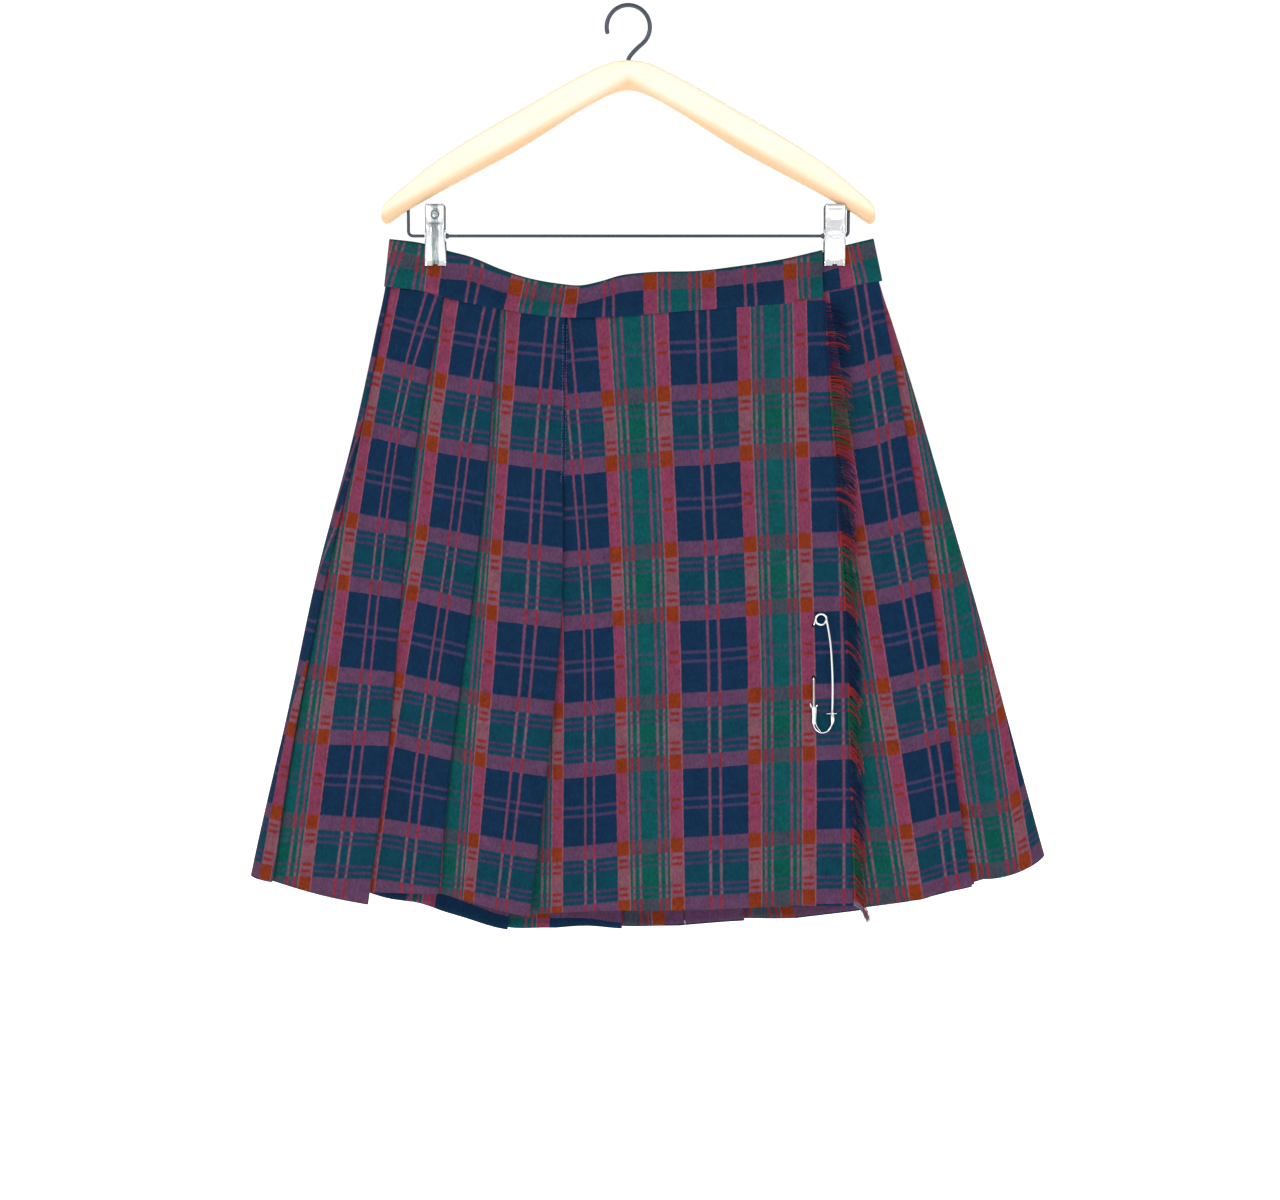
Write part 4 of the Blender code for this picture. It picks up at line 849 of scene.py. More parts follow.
def band_lift(x):
    return BAND_PITCH * min(1.0, max(0.0, (x - BAND_PARTS_X) / (APRON_EDGE[0] - BAND_PARTS_X)))


def band_arcs(plan, start, end, columns):
    """Arcs of a stretch of band, closest together round the silhouettes."""
    first, last = [plan.place(x, side) + laps * plan.length for x, side, laps in (start, end)]
    arcs = blend((first, last), np.linspace(0, 1, BAND_GUIDE_POINTS))
    crowd = 1
    for silhouette in (0, plan.front):
        crowd = crowd + SILHOUETTE_CROWDING * hump(arcs, silhouette, SILHOUETTE_REACH)
    travelled = np.concatenate([[0], np.cumsum((crowd[1:] + crowd[:-1]) / 2)])
    return np.interp(np.linspace(0, travelled[-1], columns), travelled, arcs)


def band_sheet(name, start, end, columns, inset_of, seam, top, stripes, mauve_depth):
    """A stretch of band between two places, with its own stripes and the depth of its mauve row."""
    arcs_at = {}
    line_places = [place for place, _, _ in stripes]
    line_places = [line_places[0] - FAR_PLACE, *line_places, line_places[-1] + FAR_PLACE]
    guide = band_plan(0.5)
    low_arcs, high_arcs = (band_arcs(band_plan(w), start, end, columns) for w in (0.0, 1.0))
    guide_arcs = band_arcs(guide, start, end, columns)
    points = np.zeros((BAND_ROWS, columns, 3))
    weave_places = np.zeros((BAND_ROWS, columns, 2))
    edge_shades = np.zeros((BAND_ROWS, columns, 2))
    low_plan, high_plan = band_plan(0.0), band_plan(1.0)
    for k in range(columns):
        low = along(seam[low_plan.on_front(low_arcs[k])], low_plan.point(low_arcs[k], 0)[0]) + WAIST_GAP / 2
        high = along(top[high_plan.on_front(high_arcs[k])], high_plan.point(high_arcs[k], 0)[0])
        guide_x, in_front = guide.point(guide_arcs[k], 0)[0], guide.on_front(guide_arcs[k])
        plan_low = along(PLAN_SEAM if in_front else BACK_SEAM, guide_x)
        plan_high = along(PLAN_TOP if in_front else BACK_TOP, guide_x)
        for row, share in enumerate(np.linspace(1, 0, BAND_ROWS)):
            z = low + (high - low) * share
            w = round(min(1.0, max(0.0, (z - plan_low) / (plan_high - plan_low))), 2)
            plan = band_plan(w)
            if w not in arcs_at:
                arcs_at[w] = band_arcs(plan, start, end, columns)
            arc = arcs_at[w][k]
            bare_x = plan.point(arc, 0)[0]
            pucker = 0.25 * math.sin(bare_x / 5.2 + math.sin(bare_x / 17)) * (1 - share) ** 2
            x, y = plan.point(arc, inset_of(bare_x) - pucker)
            points[row, k] = metres(x, y, z)
            line_x = [blend((seam_x, top_x), share) for _, top_x, seam_x in stripes]
            line_x = [line_x[0] - FAR_PLACE, *line_x, line_x[-1] + FAR_PLACE]
            if plan.on_front(arc):
                place = np.interp(bare_x, line_x, line_places)
            elif arc < 0:
                place = np.interp(plan.x[0], line_x, line_places) + arc
            else:
                place = np.interp(plan.x[plan.samples - 1], line_x, line_places) + arc - plan.front
            weave_places[row, k] = (place * MM, (MAUVE_PLACE + z - (high - mauve_depth(bare_x))) * MM)
            # The top of the band is marked for the painted shade of its fold
            edge_shades[row, k, 0] = 1.0 if high - z < EDGE_SHADE_DEPTH else 0.0
    return cloth_mesh(name, points, weave_places, BAND, BAND_ROUNDING, edge_shades), cut_size(points)


over_edges = ({True: OVER_SEAM, False: BACK_SEAM}, {True: OVER_TOP, False: BACK_TOP})
under_edges = ({True: UNDER_SEAM, False: BACK_SEAM}, {True: UNDER_TOP, False: BACK_TOP})
joint_gap = SEAM_GAP / 2
for name, start, end, columns, inset_of, edges, stripes, mauve_depth in (
        ("waistband_over", (-BAND_JOINT_X - joint_gap, "back", -1), (APRON_EDGE[0], "front", 0), 150,
         lambda x: -band_lift(x), over_edges, OVER_BAND_STRIPES, lambda x: along(MAUVE_BELOW_TOP, x)),
        ("waistband_back", (BAND_JOINT_X - joint_gap, "back", 0), (-BAND_JOINT_X + joint_gap, "back", 0), 110,
         lambda x: 0.0, over_edges, UNDER_BAND_STRIPES, lambda x: BACK_MAUVE_BELOW_TOP),
        ("waistband_under", (UNDER_START[0], "front", 0), (BAND_JOINT_X + joint_gap, "back", 0), 110,
         lambda x: BAND_PITCH - band_lift(x), under_edges, UNDER_BAND_STRIPES,
         lambda x: UNDER_MAUVE_BELOW_TOP)):
    piece, (width, length, area) = band_sheet(
        name + "_cloth", start, end, columns, inset_of, *edges, stripes, mauve_depth)
    piece.data.materials.append(tartan)
    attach(piece, "root")
    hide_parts(name)
    skirt_pieces[name] = piece


# Fringe
# The free edge of the apron is left unhemmed: its weft ends are drawn out for some twenty
# millimetres, so that the warp alone stands out as a brush. It lies straight under the band and
# droops more and more towards the hem. Each thread keeps the colour that it has in the cloth.
THREADS = 670
TIP_THREADS = 40
THREAD_LENGTH = 20.5
STRIP_WIDTH = 2.0
STRIP_THICK = 1.2
STRIP_TAPER = 0.7
ROOTED = 0.8
THREAD_LAYERS = (0.45, -0.25, 0.1)
THREAD_DROOP = ((0.0, -0.1), (0.22, 0.1), (0.5, 0.62), (0.96, 0.78), (0.985, 0.62))  # share down, radians
DOME_REACH, DOME_RADIUS = 0.55, 0.65


def join_rings(bm, rings, closed=False):
    """Faces between rings of points; the last ring joins the first, or else both ends are capped."""
    for lower, upper in zip(rings, rings[1:] + rings[:1] if closed else rings[1:]):
        for k in range(len(lower)):
            bm.faces.new((lower[k - 1], lower[k], upper[k], upper[k - 1]))
    if not closed:
        bm.faces.new(rings[0])
        bm.faces.new(rings[-1][::-1])


def sweep(bm, path, sides):
    """A bar of round section along (x, y, z, radius) points in millimetres, with domed ends."""
    spots = np.array([metres(*point[:3]) for point in path])
    radii = np.array([point[3] for point in path]) * MM
    headings = np.gradient(spots, axis=0)
    headings /= np.linalg.norm(headings, axis=1)[:, None]
    first, last = headings[0], headings[-1]
    start, end = spots[0] - first * radii[0] * DOME_REACH, spots[-1] + last * radii[-1] * DOME_REACH
    spots = np.vstack([start, spots, end])
    radii = np.concatenate([[radii[0] * DOME_RADIUS], radii, [radii[-1] * DOME_RADIUS]])
    headings = np.vstack([first, headings, last])
    across = np.cross(headings[0], (0.0, 1.0, 0.0))
    if np.linalg.norm(across) < 0.2:
        across = np.cross(headings[0], (1.0, 0.0, 0.0))
    rings = []
    for spot, heading, radius in zip(spots, headings, radii):
        across = across - heading * across.dot(heading)
        across /= np.linalg.norm(across)
        up = np.cross(heading, across)
        turns = np.arange(sides) * 2 * math.pi / sides
        rings.append([bm.verts.new(spot + radius * (math.cos(a) * across + math.sin(a) * up)) for a in turns])
    join_rings(bm, rings)


def lathe(bm, start, end, profile, sides=24):
    """A turned ring: (share of the way, radius) points, closed from the last back to the first."""
    start, end = Vector(metres(*start)), Vector(metres(*end))
    heading = (end - start).normalized()
    across = heading.cross(Vector((0.3, 0.5, 0.81))).normalized()
    up = heading.cross(across)
    turns = [2 * math.pi * k / sides for k in range(sides)]
    spokes = [math.cos(a) * across + math.sin(a) * up for a in turns]
    rings = []
    for share, radius in profile:
        middle = start.lerp(end, share)
        rings.append([bm.verts.new(middle + radius * MM * spoke) for spoke in spokes])
    join_rings(bm, rings, closed=True)


def finished(name, bm, material, sharp=40.0):
    """The bmesh as a shaded object with its faces outwards."""
    bmesh.ops.recalc_face_normals(bm, faces=bm.faces[:])
    mesh = bpy.data.meshes.new(name)
    bm.to_mesh(mesh)
    bm.free()
    mesh.shade_smooth()
    mesh.set_sharp_from_angle(angle=math.radians(sharp))
    mesh.materials.append(material)
    made = bpy.data.objects.new(name, mesh)
    bpy.context.scene.collection.objects.link(made)
    return made


def spread(name, spots, facts, shape, material, sizes, sway, seed):
    """Copies of a small shape on points, turned by their droop and each a little otherwise."""
    mesh = bpy.data.meshes.new(name)
    mesh.from_pydata(spots, [], [])
    for key, values in facts.items():
        mesh.attributes.new(key, "FLOAT", "POINT").data.foreach_set("value", values)
    item = bpy.data.objects.new(name, mesh)
    bpy.context.scene.collection.objects.link(item)
    group = bpy.data.node_groups.new(name + "_spread", "GeometryNodeTree")
    group.interface.new_socket("Geometry", in_out="OUTPUT", socket_type="NodeSocketGeometry")
    given_values = {
        "Shape": (shape, "Object"), "Material": (material, "Material"), "Sway": (sway, "Float"),
        "Least size": (sizes[0], "Float"), "Most size": (sizes[1], "Float"), "Seed": (seed, "Int")}
    group.interface.new_socket("Geometry", in_out="INPUT", socket_type="NodeSocketGeometry")
    for key, (_, kind) in given_values.items():
        group.interface.new_socket(key, in_out="INPUT", socket_type="NodeSocket" + kind)
    given = node(group, "NodeGroupInput").outputs
    points = node(group, "GeometryNodeMeshToPoints", None, {"Mesh": given["Geometry"]})
    copy = node(group, "GeometryNodeObjectInfo", None, {"Object": given["Shape"]})
    droop = node(group, "GeometryNodeInputNamedAttribute", None, {"Name": "droop"})
    against = node(group, "ShaderNodeMath", {"operation": "MULTIPLY"}, {0: given["Sway"], 1: -1.0})
    turns = node(group, "FunctionNodeRandomValue", {"data_type": "FLOAT_VECTOR"},
                 {0: against.outputs[0], 1: given["Sway"], 8: given["Seed"]})
    leaning = node(group, "ShaderNodeCombineXYZ", None, {1: droop.outputs[0]})
    turned = node(group, "ShaderNodeVectorMath", {"operation": "ADD"},
                  {0: turns.outputs[0], 1: leaning.outputs[0]})
    size = node(group, "FunctionNodeRandomValue", {"data_type": "FLOAT"},
                {2: given["Least size"], 3: given["Most size"], 8: given["Seed"]})
    copies = node(group, "GeometryNodeInstanceOnPoints", None, {
        "Points": points.outputs[0], "Instance": copy.outputs["Geometry"], "Rotation": turned.outputs[0],
        "Scale": size.outputs[1]})
    real = node(group, "GeometryNodeRealizeInstances", None, {0: copies.outputs[0]})
    finish = node(group, "GeometryNodeSetMaterial", None,
                  {"Geometry": real.outputs[0], "Material": given["Material"]})
    node(group, "NodeGroupOutput", None, {"Geometry": finish.outputs[0]})
    step = item.modifiers.new("spread", "NODES")
    step.node_group = group
    for socket in group.interface.items_tree:
        if socket.in_out == "INPUT" and socket.name in given_values:
            step[socket.identifier] = given_values[socket.name][0]
    plain_mesh(item)
    bpy.data.objects.remove(shape, do_unlink=True)
    return item


# Warp yarn on its own: each colour at full strength, with no weft over it to dull it. The colour
# follows the thread's place up the cloth, with fine flecks, and the ends at the hem are worn pale.
YARNS = {"navy": "#0d2447", "green": "#074f3b", "mauve": "#8a2b30", "worn": "#7d8aa0"}
yarn, tree, shader = new_material("worsted_warp_yarn", {"Roughness": 0.8, "Specular IOR Level": 0.1})
up_cloth = node(tree, "ShaderNodeAttribute", {"attribute_name": "warp"}).outputs["Fac"]
turn = maths(tree, "MULTIPLY_ADD", up_cloth, 1 / WARP_REPEAT, WARP_SHIFT / WARP_REPEAT)
green, wide, thin = stripe_ramp(tree, turn, WARP_STRIPES, WARP_REPEAT)
yarn_colours = {key: linear(value) for key, value in YARNS.items()}
hue = mixed(tree, green, yarn_colours["navy"], yarn_colours["green"])
hue = mixed(tree, wide, hue, yarn_colours["mauve"])
hue = mixed(tree, thin, hue, yarn_colours["mauve"])
hue = mixed(tree, maths(tree, "MULTIPLY_ADD", up_cloth, -0.14, 0.75, clamp=True), hue, yarn_colours["worn"])
fleck = noise(tree, object_coordinates(tree), 700.0).outputs["Fac"]
fleck_shade = maths(tree, "MULTIPLY_ADD", fleck, 0.9, 0.33)
tree.links.new(scaled_colour(tree, hue, fleck_shade), shader.inputs["Base Color"])

edge, beside_edge = grid[:, -1], grid[:, -2]
outwards = (edge - beside_edge) / np.linalg.norm(edge - beside_edge, axis=1)[:, None]
edge_warp = cloth_places[:, -1, 1] / MM
below_seam = 1
half_strip = Vector((0.0, STRIP_THICK / 2 * MM, 0.0))
strip_corners = ((SEAM_GAP, -1), (SEAM_GAP, 1), (SEAM_GAP + STRIP_WIDTH, STRIP_TAPER),
                 (SEAM_GAP + STRIP_WIDTH, -STRIP_TAPER))
bm = bmesh.new()
warp_layer = bm.verts.layers.float.new("warp")
sections = []
for k in range(below_seam, len(edge)):
    sections.append([bm.verts.new(Vector(edge[k] + outwards[k] * across * MM) + side * half_strip)
                     for across, side in strip_corners])
    for vert in sections[-1]:
        vert[warp_layer] = edge_warp[k]
join_rings(bm, sections)
strip = finished("apron_fringe_heading", bm, yarn)

bm = bmesh.new()
thread_path = []
for share in np.linspace(0, 1, 8):
    thread_path.append((THREAD_LENGTH * share * (1 - 0.12 * share ** 2), 0.8 * math.sin(share * 4) * share,
                        ROD_BELOW_HOOK - 5.5 * share ** 2.2, 0.5 - 0.22 * share))
sweep(bm, thread_path, 3)
thread = finished("thread", bm, yarn)
chance = np.random.default_rng(11)
thread_rows = np.concatenate([chance.uniform(below_seam + 0.3, len(edge) - 1.4, THREADS - TIP_THREADS),
                              chance.uniform(len(edge) - 2.1, len(edge) - 1.02, TIP_THREADS)])
thread_rows.sort()
rows_at = np.arange(len(edge))
roots = [np.interp(thread_rows, rows_at, edge[:, axis]) for axis in range(3)]
leads = [np.interp(thread_rows, rows_at, outwards[:, axis]) for axis in range(3)]
spots = np.stack(roots, 1) + np.stack(leads, 1) * (SEAM_GAP + STRIP_WIDTH - ROOTED) * MM
spots[:, 1] -= np.resize(THREAD_LAYERS, THREADS) * MM
hang = np.interp(thread_rows / len(edge), *zip(*THREAD_DROOP))
threads = spread("apron_fringe_threads", spots.tolist(),
                 {"warp": np.interp(thread_rows, rows_at, edge_warp), "droop": hang},
                 thread, yarn, (0.84, 1.12), 0.13, 5)
for piece in (strip, threads):
    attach(piece, "root")
    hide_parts("apron_fringe")
width, length, area = over_apron_cut


# Pleat stitches
# Pale tacking stitches run down beside the last knife pleat, from the band to the hip. They hold
# the pleat flat; each is a short loop of cotton that stands a little out of the cloth.
STITCH_STEP = 2.6
STITCHED_FROM, STITCHED_TO = 0.012, 0.27
STITCH_STRAY = 0.5
SKIRT_LENGTH = 535.0
APRON_WIDTH = 260.0
cotton, tree, shader = new_material("cotton_thread", {
    "Base Color": linear("#6d6494"), "Roughness": 0.7, "Specular IOR Level": 0.1})
loop = ((0.2, 0.6, 0.15), (-0.05, 0.3, 0.21), (-0.05, -0.3, 0.21), (0.2, -0.6, 0.15))
bm = bmesh.new()
sweep(bm, [(0, y, ROD_BELOW_HOOK + z, radius) for y, z, radius in loop], 5)
stitch = finished("stitch", bm, cotton)


def apron_point(share, v, out):
    """A point of the over apron, out from its outer face; share runs from fold A to the free edge."""
    plan = skirt_plan(round(v, 3))
    fold = FOLDS[-1]
    start = plan.place(at_level(fold[2], v), "front")
    end = plan.place(at_level(APRON_EDGE, v), "front")
    arc, inset = blend((start, end), share), blend((2 * fold_pitch(fold, v), -APRON_LIFT), share)
    bare_x = plan.point(arc, inset)[0]
    x, y = plan.point(arc, inset - float(ripple(bare_x, v, True)) - CLOTH / 2 - out)
    seam = along(OVER_SEAM, blend((fold[2][0], APRON_EDGE[0]), share)) - WAIST_GAP / 2
    hem = along(FRONT_HEMS["edge"], blend((fold[2][-1], APRON_EDGE[-1]), share))
    return x, y, blend((seam, hem), v)


def on_apron(x, z, out):
    """The point out from the apron that has this X and Z."""
    share, v = 0.9, 0.6
    for _ in range(12):
        px, _, pz = apron_point(share, v, out)
        v += (pz - z) / SKIRT_LENGTH
        share += (x - px) / APRON_WIDTH
    return apron_point(share, v, out)


def pleat_point(v, before_fold, out):
    """A point of the pleat's outer face, this far before fold A."""
    plan = skirt_plan(round(v, 3))
    arc = fold_arc(FOLDS[-1], v) - plan.length - before_fold
    bare_x = plan.point(arc, 0.0)[0]
    x, y = plan.point(arc, -float(ripple(bare_x, v, True)) - CLOTH / 2 - out)
    seam, hem = along(OVER_SEAM, FOLDS[-1][2][0]), along(FRONT_HEMS["A"], FOLDS[-1][2][-1])
    return x, y, blend((seam - WAIST_GAP / 2, hem), v)


stitch_spots = []
for number, v in enumerate(np.arange(STITCHED_FROM, STITCHED_TO, STITCH_STEP / SKIRT_LENGTH)):
    for x, y, z in (pleat_point(v, 0.9, 0.1), apron_point(0.008, v, 0.1)):
        stitch_spots.append(metres(x, y, z + STITCH_STRAY * math.sin(number * 1.7)))
stitches = spread("pleat_stitches", stitch_spots, {"droop": [0.05] * len(stitch_spots)}, stitch, cotton,
                  (0.8, 1.15), 0.08, 3)
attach(stitches, "root")


# Kilt pin
# A large safety pin of chromed steel wire. Its point lies through the apron's cloth; above it the
# wire is coiled once and a half as a spring, and runs down to a crossbar and a thinner bow, which
# is crimped at the far end into the cup that guards the point.
PIN_COIL = (170.7, -338.6)
PIN_COIL_RADIUS = 4.8
PIN_COIL_PITCH = 2.3
PIN_WIRE = 1.8
PIN_REST = 0.3
PIN_POINT_X = 164.5
PIN_HOLES_Z = (-344.0, -390.5)
PIN_HOLE_RADIUS = 1.7
PIN_CAP_Z = (-416.5, -432.0)
PIN_CAP_RADIUS = 2.1
PIN_BOW_Z = -430.8
PIN_BOW_DROP = 8.6
PIN_BOW_RADIUS = 0.62
CROWN_BAR = (180.6, -422.4)
CROWN_BAR_HALF = 4.4
# Polished chrome plate: a mirror with a slight blur, so that it takes the white room and dark lines
# along its edges.
chrome, tree, shader = new_material("polished_chrome", {
    "Base Color": (0.82, 0.83, 0.83, 1), "Metallic": 1.0, "Roughness": 0.12})


def smooth_path(points, count):
    """A smooth curve of count points through the given points."""
    points = np.array(points, float)
    ends = np.vstack([2 * points[0] - points[1], points, 2 * points[-1] - points[-2]])
    path = []
    for t in np.linspace(0, len(points) - 1, count):
        k = min(int(t), len(points) - 2)
        f = t - k
        p0, p1, p2, p3 = ends[k:k + 4]
        path.append(0.5 * (2 * p1 + (p2 - p0) * f + (2 * p0 - 5 * p1 + 4 * p2 - p3) * f ** 2
                           + (3 * p1 - p0 - 3 * p2 + p3) * f ** 3))
    return path


def wire_on_apron(bm, points, sides):
    """A wire through points given as X, Z, height over the apron's cloth and radius."""
    sweep(bm, [(*on_apron(px, pz, out), radius) for px, pz, out, radius in points], sides)


def drill(item, path, name, material):
    """Cut a round hole in the item along (x, y, z, radius) points."""
    bm = bmesh.new()
    sweep(bm, path, 20)
    cutter = finished(name, bm, material)
    cut = item.modifiers.new(name, "BOOLEAN")
    cut.operation = "DIFFERENCE"
    cut.object = cutter
    plain_mesh(item)
    bpy.data.objects.remove(cutter, do_unlink=True)


thin, arm = PIN_WIRE / 2, PIN_WIRE / 2 + 0.1
on_cloth, behind = PIN_REST + thin, -(CLOTH + PIN_REST + thin)
in_cup = PIN_REST + PIN_CAP_RADIUS
upper, lower = PIN_HOLES_Z
x = PIN_POINT_X
route = [(x, -424.0, in_cup, 0.3), (x, -420.0, in_cup, thin * 0.85), (x, -408.0, in_cup - 0.4, thin),
         (x, lower - 3.2, on_cloth, thin), (x, lower - 1.3, on_cloth - 0.25, thin),
         (x, lower - 0.4, on_cloth - 0.9, thin), (x, lower + 0.4, behind + 0.9, thin),
         (x, lower + 1.3, behind + 0.25, thin), (x, lower + 3.2, behind, thin),
         (x, (upper + lower) / 2, behind, thin), (x, upper - 3.2, behind, thin),
         (x, upper - 1.3, behind + 0.25, thin), (x, upper - 0.4, behind + 0.9, thin),
         (x, upper + 0.4, on_cloth - 0.9, thin), (x + 0.5, upper + 1.6, on_cloth - 0.1, thin)]
coil_turns, coil_steps, bow_steps = 1.5, 30, 12
for k in range(coil_steps + 1):
    turned = k / coil_steps * coil_turns
    angle = math.pi - turned * 2 * math.pi
    route.append((PIN_COIL[0] + PIN_COIL_RADIUS * math.cos(angle),
                  PIN_COIL[1] + PIN_COIL_RADIUS * math.sin(angle),
                  on_cloth + PIN_COIL_PITCH * turned, thin + 0.06 * turned))
high = on_cloth + PIN_COIL_PITCH * coil_turns
bow_x = 180.4
route += [(178.0, -352.0, high, arm), (179.7, -366.0, high, arm), (181.0, -390.0, high - 0.6, arm),
          (181.2, -411.0, high - 1.6, arm), (181.0, -419.5, high - 2.0, arm),
          (181.2, -424.0, high - 2.2, arm + 0.75), (181.4, -428.5, high - 2.4, arm + 0.85),
          (180.9, -431.5, high - 2.4, arm),
          (bow_x - 0.4, -433.6, high - 2.4, PIN_BOW_RADIUS)]
half = (bow_x - x) / 2
for k in range(2, bow_steps + 1):
    angle = math.pi * k / bow_steps
    route.append((x + half + half * math.cos(angle), PIN_BOW_Z - PIN_BOW_DROP * math.sin(angle), in_cup,
                  PIN_BOW_RADIUS))
route.append((x, PIN_BOW_Z + 1.4, in_cup, PIN_BOW_RADIUS))
bm = bmesh.new()
wire_on_apron(bm, smooth_path(route, 4 * len(route)), 12)
wire_on_apron(bm, [(CROWN_BAR[0] + side, CROWN_BAR[1], high - 2.2, PIN_BOW_RADIUS - 0.07 * abs(side))
                   for side in np.linspace(-CROWN_BAR_HALF, CROWN_BAR_HALF, 9)], 8)
inner_wire = [(x + 2.2, -415.8, in_cup + 0.3, 0.45), (x + 1.9, -423.0, in_cup + 0.3, 0.42),
              (x + 1.6, -429.5, in_cup + 0.2, 0.5), (x + 3.0, -434.0, in_cup + 0.2, 0.4),
              (x + 6.2, -438.2, in_cup, 0.36)]
wire_on_apron(bm, smooth_path(inner_wire, 22), 8)
pin = finished("kilt_pin_wire", bm, chrome, 60.0)
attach(pin, "root")
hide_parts("kilt_pin")

bm = bmesh.new()
top, bottom = PIN_CAP_Z
cup_top, cup_bottom = on_apron(x, top, in_cup), on_apron(x, bottom, in_cup)
lathe(bm, cup_top, cup_bottom, (
    (-0.02, 2.35), (0.03, 2.5), (0.09, 2.15), (0.2, 1.75), (0.5, 1.65), (0.75, 1.75), (0.9, 1.6), (0.99, 1.1),
    (1.0, 0.1), (0.88, 0.1), (0.85, 1.15), (0.5, 1.3), (0.2, 1.4), (0.07, 1.8), (0.0, 2.05)), 28)
for lean in (-1, 1):
    prong = [(x + lean * 1.5, top - 1.0, in_cup + 0.4, 0.5), (x + lean * 2.5, top + 1.2, in_cup + 0.7, 0.75),
             (x + lean * 3.1, top + 3.4 - 1.5 * (lean > 0), in_cup + 1.1, 0.55)]
    wire_on_apron(bm, smooth_path(prong, 9), 8)
cup = finished("kilt_pin_guard", bm, chrome, 60.0)
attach(cup, "root")
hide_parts("kilt_pin_cup")

for z in PIN_HOLES_Z:
    through = [(*on_apron(x + 0.05, z, out), PIN_HOLE_RADIUS) for out in (4.0, 1.0, -2.0, -5.0)]
    drill(skirt_pieces["over_apron"], through, "needle_hole", chrome)


# Hanger wood
# Two arms of pale beech in one bent, flattened bow, moulded round along the edges and clear
# varnished. It is bored at the middle for the hook and under each end for the rod's legs.
HOOK_WIRE = 3.8
HOOK_RADIUS = 19.0
SHANK_DEPTH = 20.0
ROD_WIRE = 2.8
ROD_LEG_X = 195.0
ROD_BEND = 4.0
ROD_LEG_TOP = 34.0
WOOD_THICK = 13.0
WOOD_ROUNDING = 4.5
WOOD_OUTLINE = (  # X, underside, upper side
    (0.0, 127.0, 153.0), (18.0, 122.5, 150.5), (45.0, 108.0, 138.0), (75.0, 89.0, 121.5),
    (105.0, 71.0, 104.5), (140.0, 52.5, 84.5), (175.0, 34.0, 62.0), (200.0, 19.5, 42.0),
)
WOOD_NOSE = ((209.0, 13.0), (214.5, 10.5), (218.0, 13.5), (218.6, 19.5), (215.5, 28.5))
GRAIN_SLOPE = 0.545
GRAIN_STRETCH = 0.07
WELD = 0.00002
BEECH = {"ground": "#eee6cf", "fleck": "#e6d2ac", "cloud": "#f3edda", "tip": "#f0dfb8", "underside_shade": "#dbb68e"}
# Beech: cream wood with short darker flecks and long faint rings that run along each arm, under a
# thin clear varnish; the lower edge is painted tan as the shade of its underside.
beech, tree, shader = new_material("varnished_beech", {"Roughness": 0.42, "Specular IOR Level": 0.3})
axes = components(tree, object_coordinates(tree))
arm_x = maths(tree, "ABSOLUTE", axes["X"])
across_arm = maths(tree, "MULTIPLY_ADD", arm_x, GRAIN_SLOPE, axes["Z"])
along_arm = maths(tree, "MULTIPLY_ADD", axes["Z"], -GRAIN_SLOPE, arm_x)
grain_place = node(tree, "ShaderNodeCombineXYZ", None, {
    0: maths(tree, "MULTIPLY", along_arm, GRAIN_STRETCH), 1: axes["Y"], 2: across_arm}).outputs[0]
grain = noise(tree, grain_place, 260.0, {"Detail": 5.0, "Roughness": 0.6}).outputs["Fac"]
cloudy = noise(tree, grain_place, 60.0, {"Detail": 2.0, "Distortion": 0.6}).outputs["Fac"]
wood_tones = {key: linear(value) for key, value in BEECH.items()}
wood_tone = wood_tones["ground"]
for key, source, slope, level, most in (
        ("fleck", grain, 3.0, -1.15, 0.55),
        ("cloud", cloudy, 3.0, -1.2, 0.6),
        ("tip", arm_x, 9.0, -1.15, 0.5)):
    share = maths(tree, "MULTIPLY", maths(tree, "MULTIPLY_ADD", source, slope, level, clamp=True), most)
    wood_tone = mixed(tree, share, wood_tone, wood_tones[key])
# Painted shade: the lower edge of each arm is tinted tan for its shaded underside
lower_edge_shade = maths(tree, "MULTIPLY_ADD", across_arm, -120.0, -6.9, clamp=True)
wood_tone = mixed(tree, lower_edge_shade, wood_tone, wood_tones["underside_shade"])
tree.links.new(wood_tone, shader.inputs["Base Color"])
add_bump(tree, shader, grain, 0.1, 0.0003)

edges = []
for column in (1, 2):
    rows = [(row[0], row[column]) for row in WOOD_OUTLINE]
    whole = smooth_path([(-rows[1][0], rows[1][1])] + rows, 8 * len(rows) + 1)
    edges.append([tuple(p) for p in whole if p[0] > -0.01])
nose = [tuple(p) for p in smooth_path([edges[0][-1], *WOOD_NOSE, edges[1][-1]], 31)[1:-1]]
right = edges[0] + nose + edges[1][::-1]
outline = right + [(-x, z) for x, z in right[::-1] if x > 0.01]
curve = bpy.data.curves.new("hanger_arms", "CURVE")
curve.dimensions = "2D"
curve.fill_mode = "BOTH"
curve.extrude = (WOOD_THICK / 2 - WOOD_ROUNDING) * MM
curve.bevel_depth = WOOD_ROUNDING * MM
curve.bevel_resolution = 4
curve.offset = -WOOD_ROUNDING * MM
spline = curve.splines.new("POLY")
spline.points.add(len(outline) - 1)
for point, (px, pz) in zip(spline.points, outline):
    point.co = (px * MM, pz * MM, 0, 1)
spline.use_cyclic_u = True
shape = bpy.data.objects.new("hanger_arms", curve)
bpy.context.scene.collection.objects.link(shape)
bpy.context.view_layer.update()
flat_mesh = bpy.data.meshes.new_from_object(shape.evaluated_get(bpy.context.evaluated_depsgraph_get()))
bpy.data.objects.remove(shape, do_unlink=True)
flat_mesh.transform(Matrix.Translation(metres(0, 0, 0)) @ Matrix.Rotation(math.pi / 2, 4, "X"))
bm = bmesh.new()
bm.from_mesh(flat_mesh)
bmesh.ops.remove_doubles(bm, verts=bm.verts[:], dist=WELD)
flat_mesh.materials.clear()
arms = finished("hanger_arms", bm, beech, 35.0)
wood_top = WOOD_OUTLINE[0][2]
